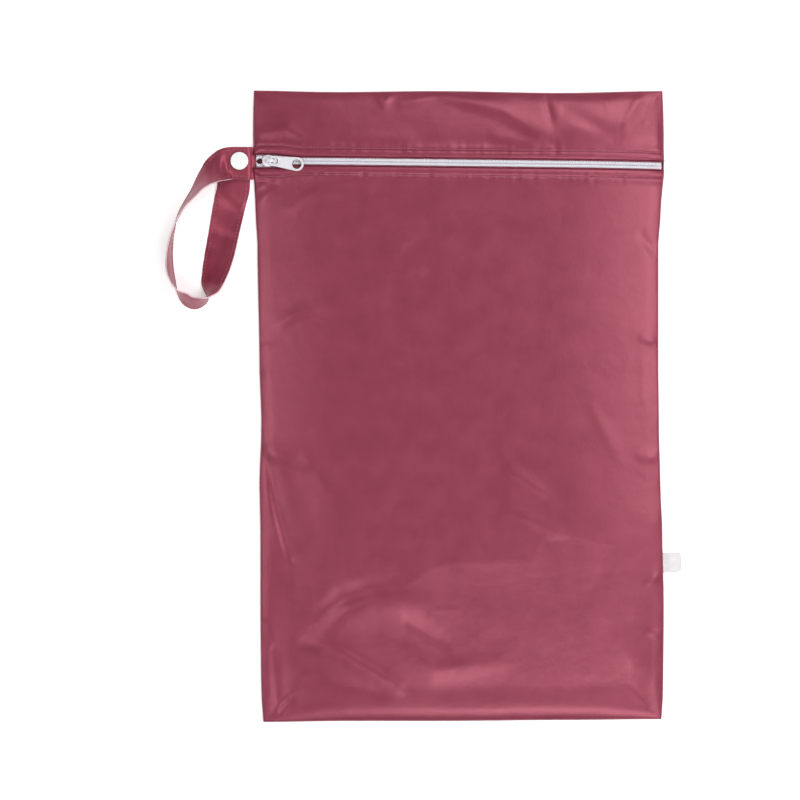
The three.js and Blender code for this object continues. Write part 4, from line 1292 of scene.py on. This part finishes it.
def snapPieces():
    # each inner part is turned from radius and height pairs that start at its foot
    radius, ring, stud = snapCut["radius"], snapCut["ring"], snapCut["stud"]
    prong, bore = snapCut["prong"], snapCut["bore"]
    turnedPiece("snap_face", capProfile(), capHigh.z - snapCut["rim"] - snapCut["dome"], "snap_cap")
    low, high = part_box("snap_socket")
    tall = high.z - low.z
    inside = stud + snapCut["play"]
    turnedPiece("snap_socket_body", [
        (inside, 0), (ring - 0.3 * mm, 0), (ring, 0.3 * mm), (ring, tall * 0.6), (ring - 0.4 * mm, tall),
        (bore, tall), (bore, tall * 0.75), (inside, tall * 0.75), (inside, 0),
    ], low.z, "snap_socket")
    low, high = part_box("snap_stud")
    tall = high.z - low.z
    turnedPiece("snap_stud_body", [
        (bore, 0), (ring - 0.2 * mm, 0), (ring, 0.15 * mm), (ring - 0.2 * mm, 0.45 * mm),
        (stud * 0.86, 0.5 * mm), (stud, tall * 0.8), (stud * 0.9, tall), (bore, tall), (bore, 0),
    ], low.z, "snap_stud")
    low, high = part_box("snap_back")
    tall = high.z - low.z
    turnedPiece("snap_back_face", [
        (0, 0), (radius * 0.5, 0), (radius * 0.88, 0.08 * mm), (radius * 0.97, 0.3 * mm), (radius, 0.5 * mm),
        (radius * 0.96, 0.86 * mm), (prong, 0.9 * mm), (prong, tall), (0, tall),
    ], low.z, "snap_back")


snapPieces()


print("stage: label")

labelLow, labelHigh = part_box("side_label")
labelCut = {
    "length": 13.6 * mm, "reach": 12.6 * mm, "root": 1.5 * mm, "wall": 0.35 * mm,
    "height": 1.1 * mm, "corner": 2.4 * mm, "pinched": 0.4 * mm, "drift": 0.5 * mm,
    "waved": 0.3 * mm, "sunk": 0.25 * mm, "raised": 0.35 * mm,
}


def sideLabel():
    # one ribbon, out of the seam, round a soft fold and back
    middleY = (labelLow.y + labelHigh.y) / 2
    seamX = rightEdge(middleY)
    fold = labelCut["height"] / 2
    straight = labelCut["reach"] + labelCut["root"] - fold
    total = 2 * straight + math.pi * fold
    rows = [total * i / 60 for i in range(61)]
    columns = [-1 + 2 * i / 24 for i in range(25)][::-1]

    def place(share, distance):
        if distance < straight:
            out, height = distance, 0.0
        elif distance > total - straight:
            out, height = total - distance, 2 * fold
        else:
            turn = (distance - straight) / fold
            out, height = straight + fold * math.sin(turn), fold - fold * math.cos(turn)
        fromEnd = straight + fold - out
        pinch = labelCut["corner"] * (1 - quarterRound(fromEnd, labelCut["corner"]))
        half = labelCut["length"] / 2 - 0.85 * pinch
        opened = ease((out - labelCut["root"]) / (5 * mm))
        height *= mix(labelCut["pinched"] / labelCut["height"], 1, opened)
        waved = labelCut["waved"] * math.sin(share * 2.3 + 0.6) * ease(out / (8 * mm))
        lift = labelLow.z - labelCut["sunk"] + height + waved + labelCut["raised"] * opened
        drift = labelCut["drift"] * ease(out / labelCut["reach"])
        return Vector((seamX - labelCut["root"] + out, middleY + share * half + drift, lift))

    bm = mappedGrid(columns, rows, place, (labelCut["length"] / 2, 1))
    piece = finishPiece("seam_label", bm, [ribbonWeave], ["side_label"])
    return addWall(piece, labelCut["wall"], 0.0)


label = sideLabel()


print("stage: floor, light and camera")

studio = {
    "floorSize": 6.0,
    "floorShade": (0.9, 0.9, 0.9),
    "floorGlow": 0.42,
    "world": 0.24,
    "cameraPixels": 800,
    "pixelSize": 0.70 * mm,
    "aim": (-41.3 * mm, 4.2 * mm),
    "aimHeight": 5 * mm,  # the height at which a pixel has its size
    "lens": 110,
    "sensor": 36,
    "floorDrop": 0.1 * mm,
    # name, position, size, power
    "lamps": [
        ("rightBox", (0.74, 0.16, 1.0), (0.34, 0.7), 5.6),
        ("leftBox", (-0.76, 0.0, 1.0), (0.3, 0.6), 3.3),
        ("footBox", (0.2, -0.68, 0.95), (0.6, 0.25), 5.2),
        ("headBox", (0.35, 0.8, 0.95), (0.6, 0.25), 4.8),
    ],
}


def addFloor():
    bm = bmesh.new()
    bmesh.ops.create_grid(bm, x_segments=2, y_segments=2, size=studio["floorSize"] / 2)
    material, tree, shader = startMaterial("paleFloor", {
        "Base Color": (*studio["floorShade"], 1), "Roughness": 0.9,
        "Emission Color": (1, 1, 1, 1), "Emission Strength": studio["floorGlow"],
    })
    coords = addNode(tree, "ShaderNodeTexCoord").outputs["Object"]
    addBumps(tree, shader, [(stretchedNoise(tree, coords, 300, 2), 0.05, 0.05 * mm)])
    floor = bpy.data.objects.new("floor", meshOf("floor", bm))
    floor.data.materials.append(material)
    bpy.context.scene.collection.objects.link(floor)
    floor.data.transform(Matrix.Translation((0, 0, cadBox[0][2] - studio["floorDrop"])))


def addLamps():
    for name, place, size, power in studio["lamps"]:
        lamp = bpy.data.lights.new(name, "AREA")
        lamp.shape = "RECTANGLE"
        lamp.size, lamp.size_y = size
        lamp.energy = power
        holder = bpy.data.objects.new(name, lamp)
        holder.location = place
        holder.rotation_euler = Vector(place).to_track_quat("Z", "Y").to_euler()
        bpy.context.scene.collection.objects.link(holder)
    world = bpy.data.worlds.new("studio")
    world.use_nodes = True
    world.node_tree.nodes["Background"].inputs["Color"].default_value = (1, 1, 1, 1)
    world.node_tree.nodes["Background"].inputs["Strength"].default_value = studio["world"]
    bpy.context.scene.world = world


def addCamera():
    camera = bpy.data.cameras.new("camera")
    camera.lens = studio["lens"]
    camera.sensor_width = studio["sensor"]
    holder = bpy.data.objects.new("camera", camera)
    span = studio["cameraPixels"] * studio["pixelSize"]
    away = span * camera.lens / camera.sensor_width
    holder.location = (*studio["aim"], away + studio["aimHeight"])
    bpy.context.scene.collection.objects.link(holder)
    bpy.context.scene.camera = holder


addFloor()
addLamps()
addCamera()
bpy.context.scene.view_settings.view_transform = "Standard"

print("stage: done")
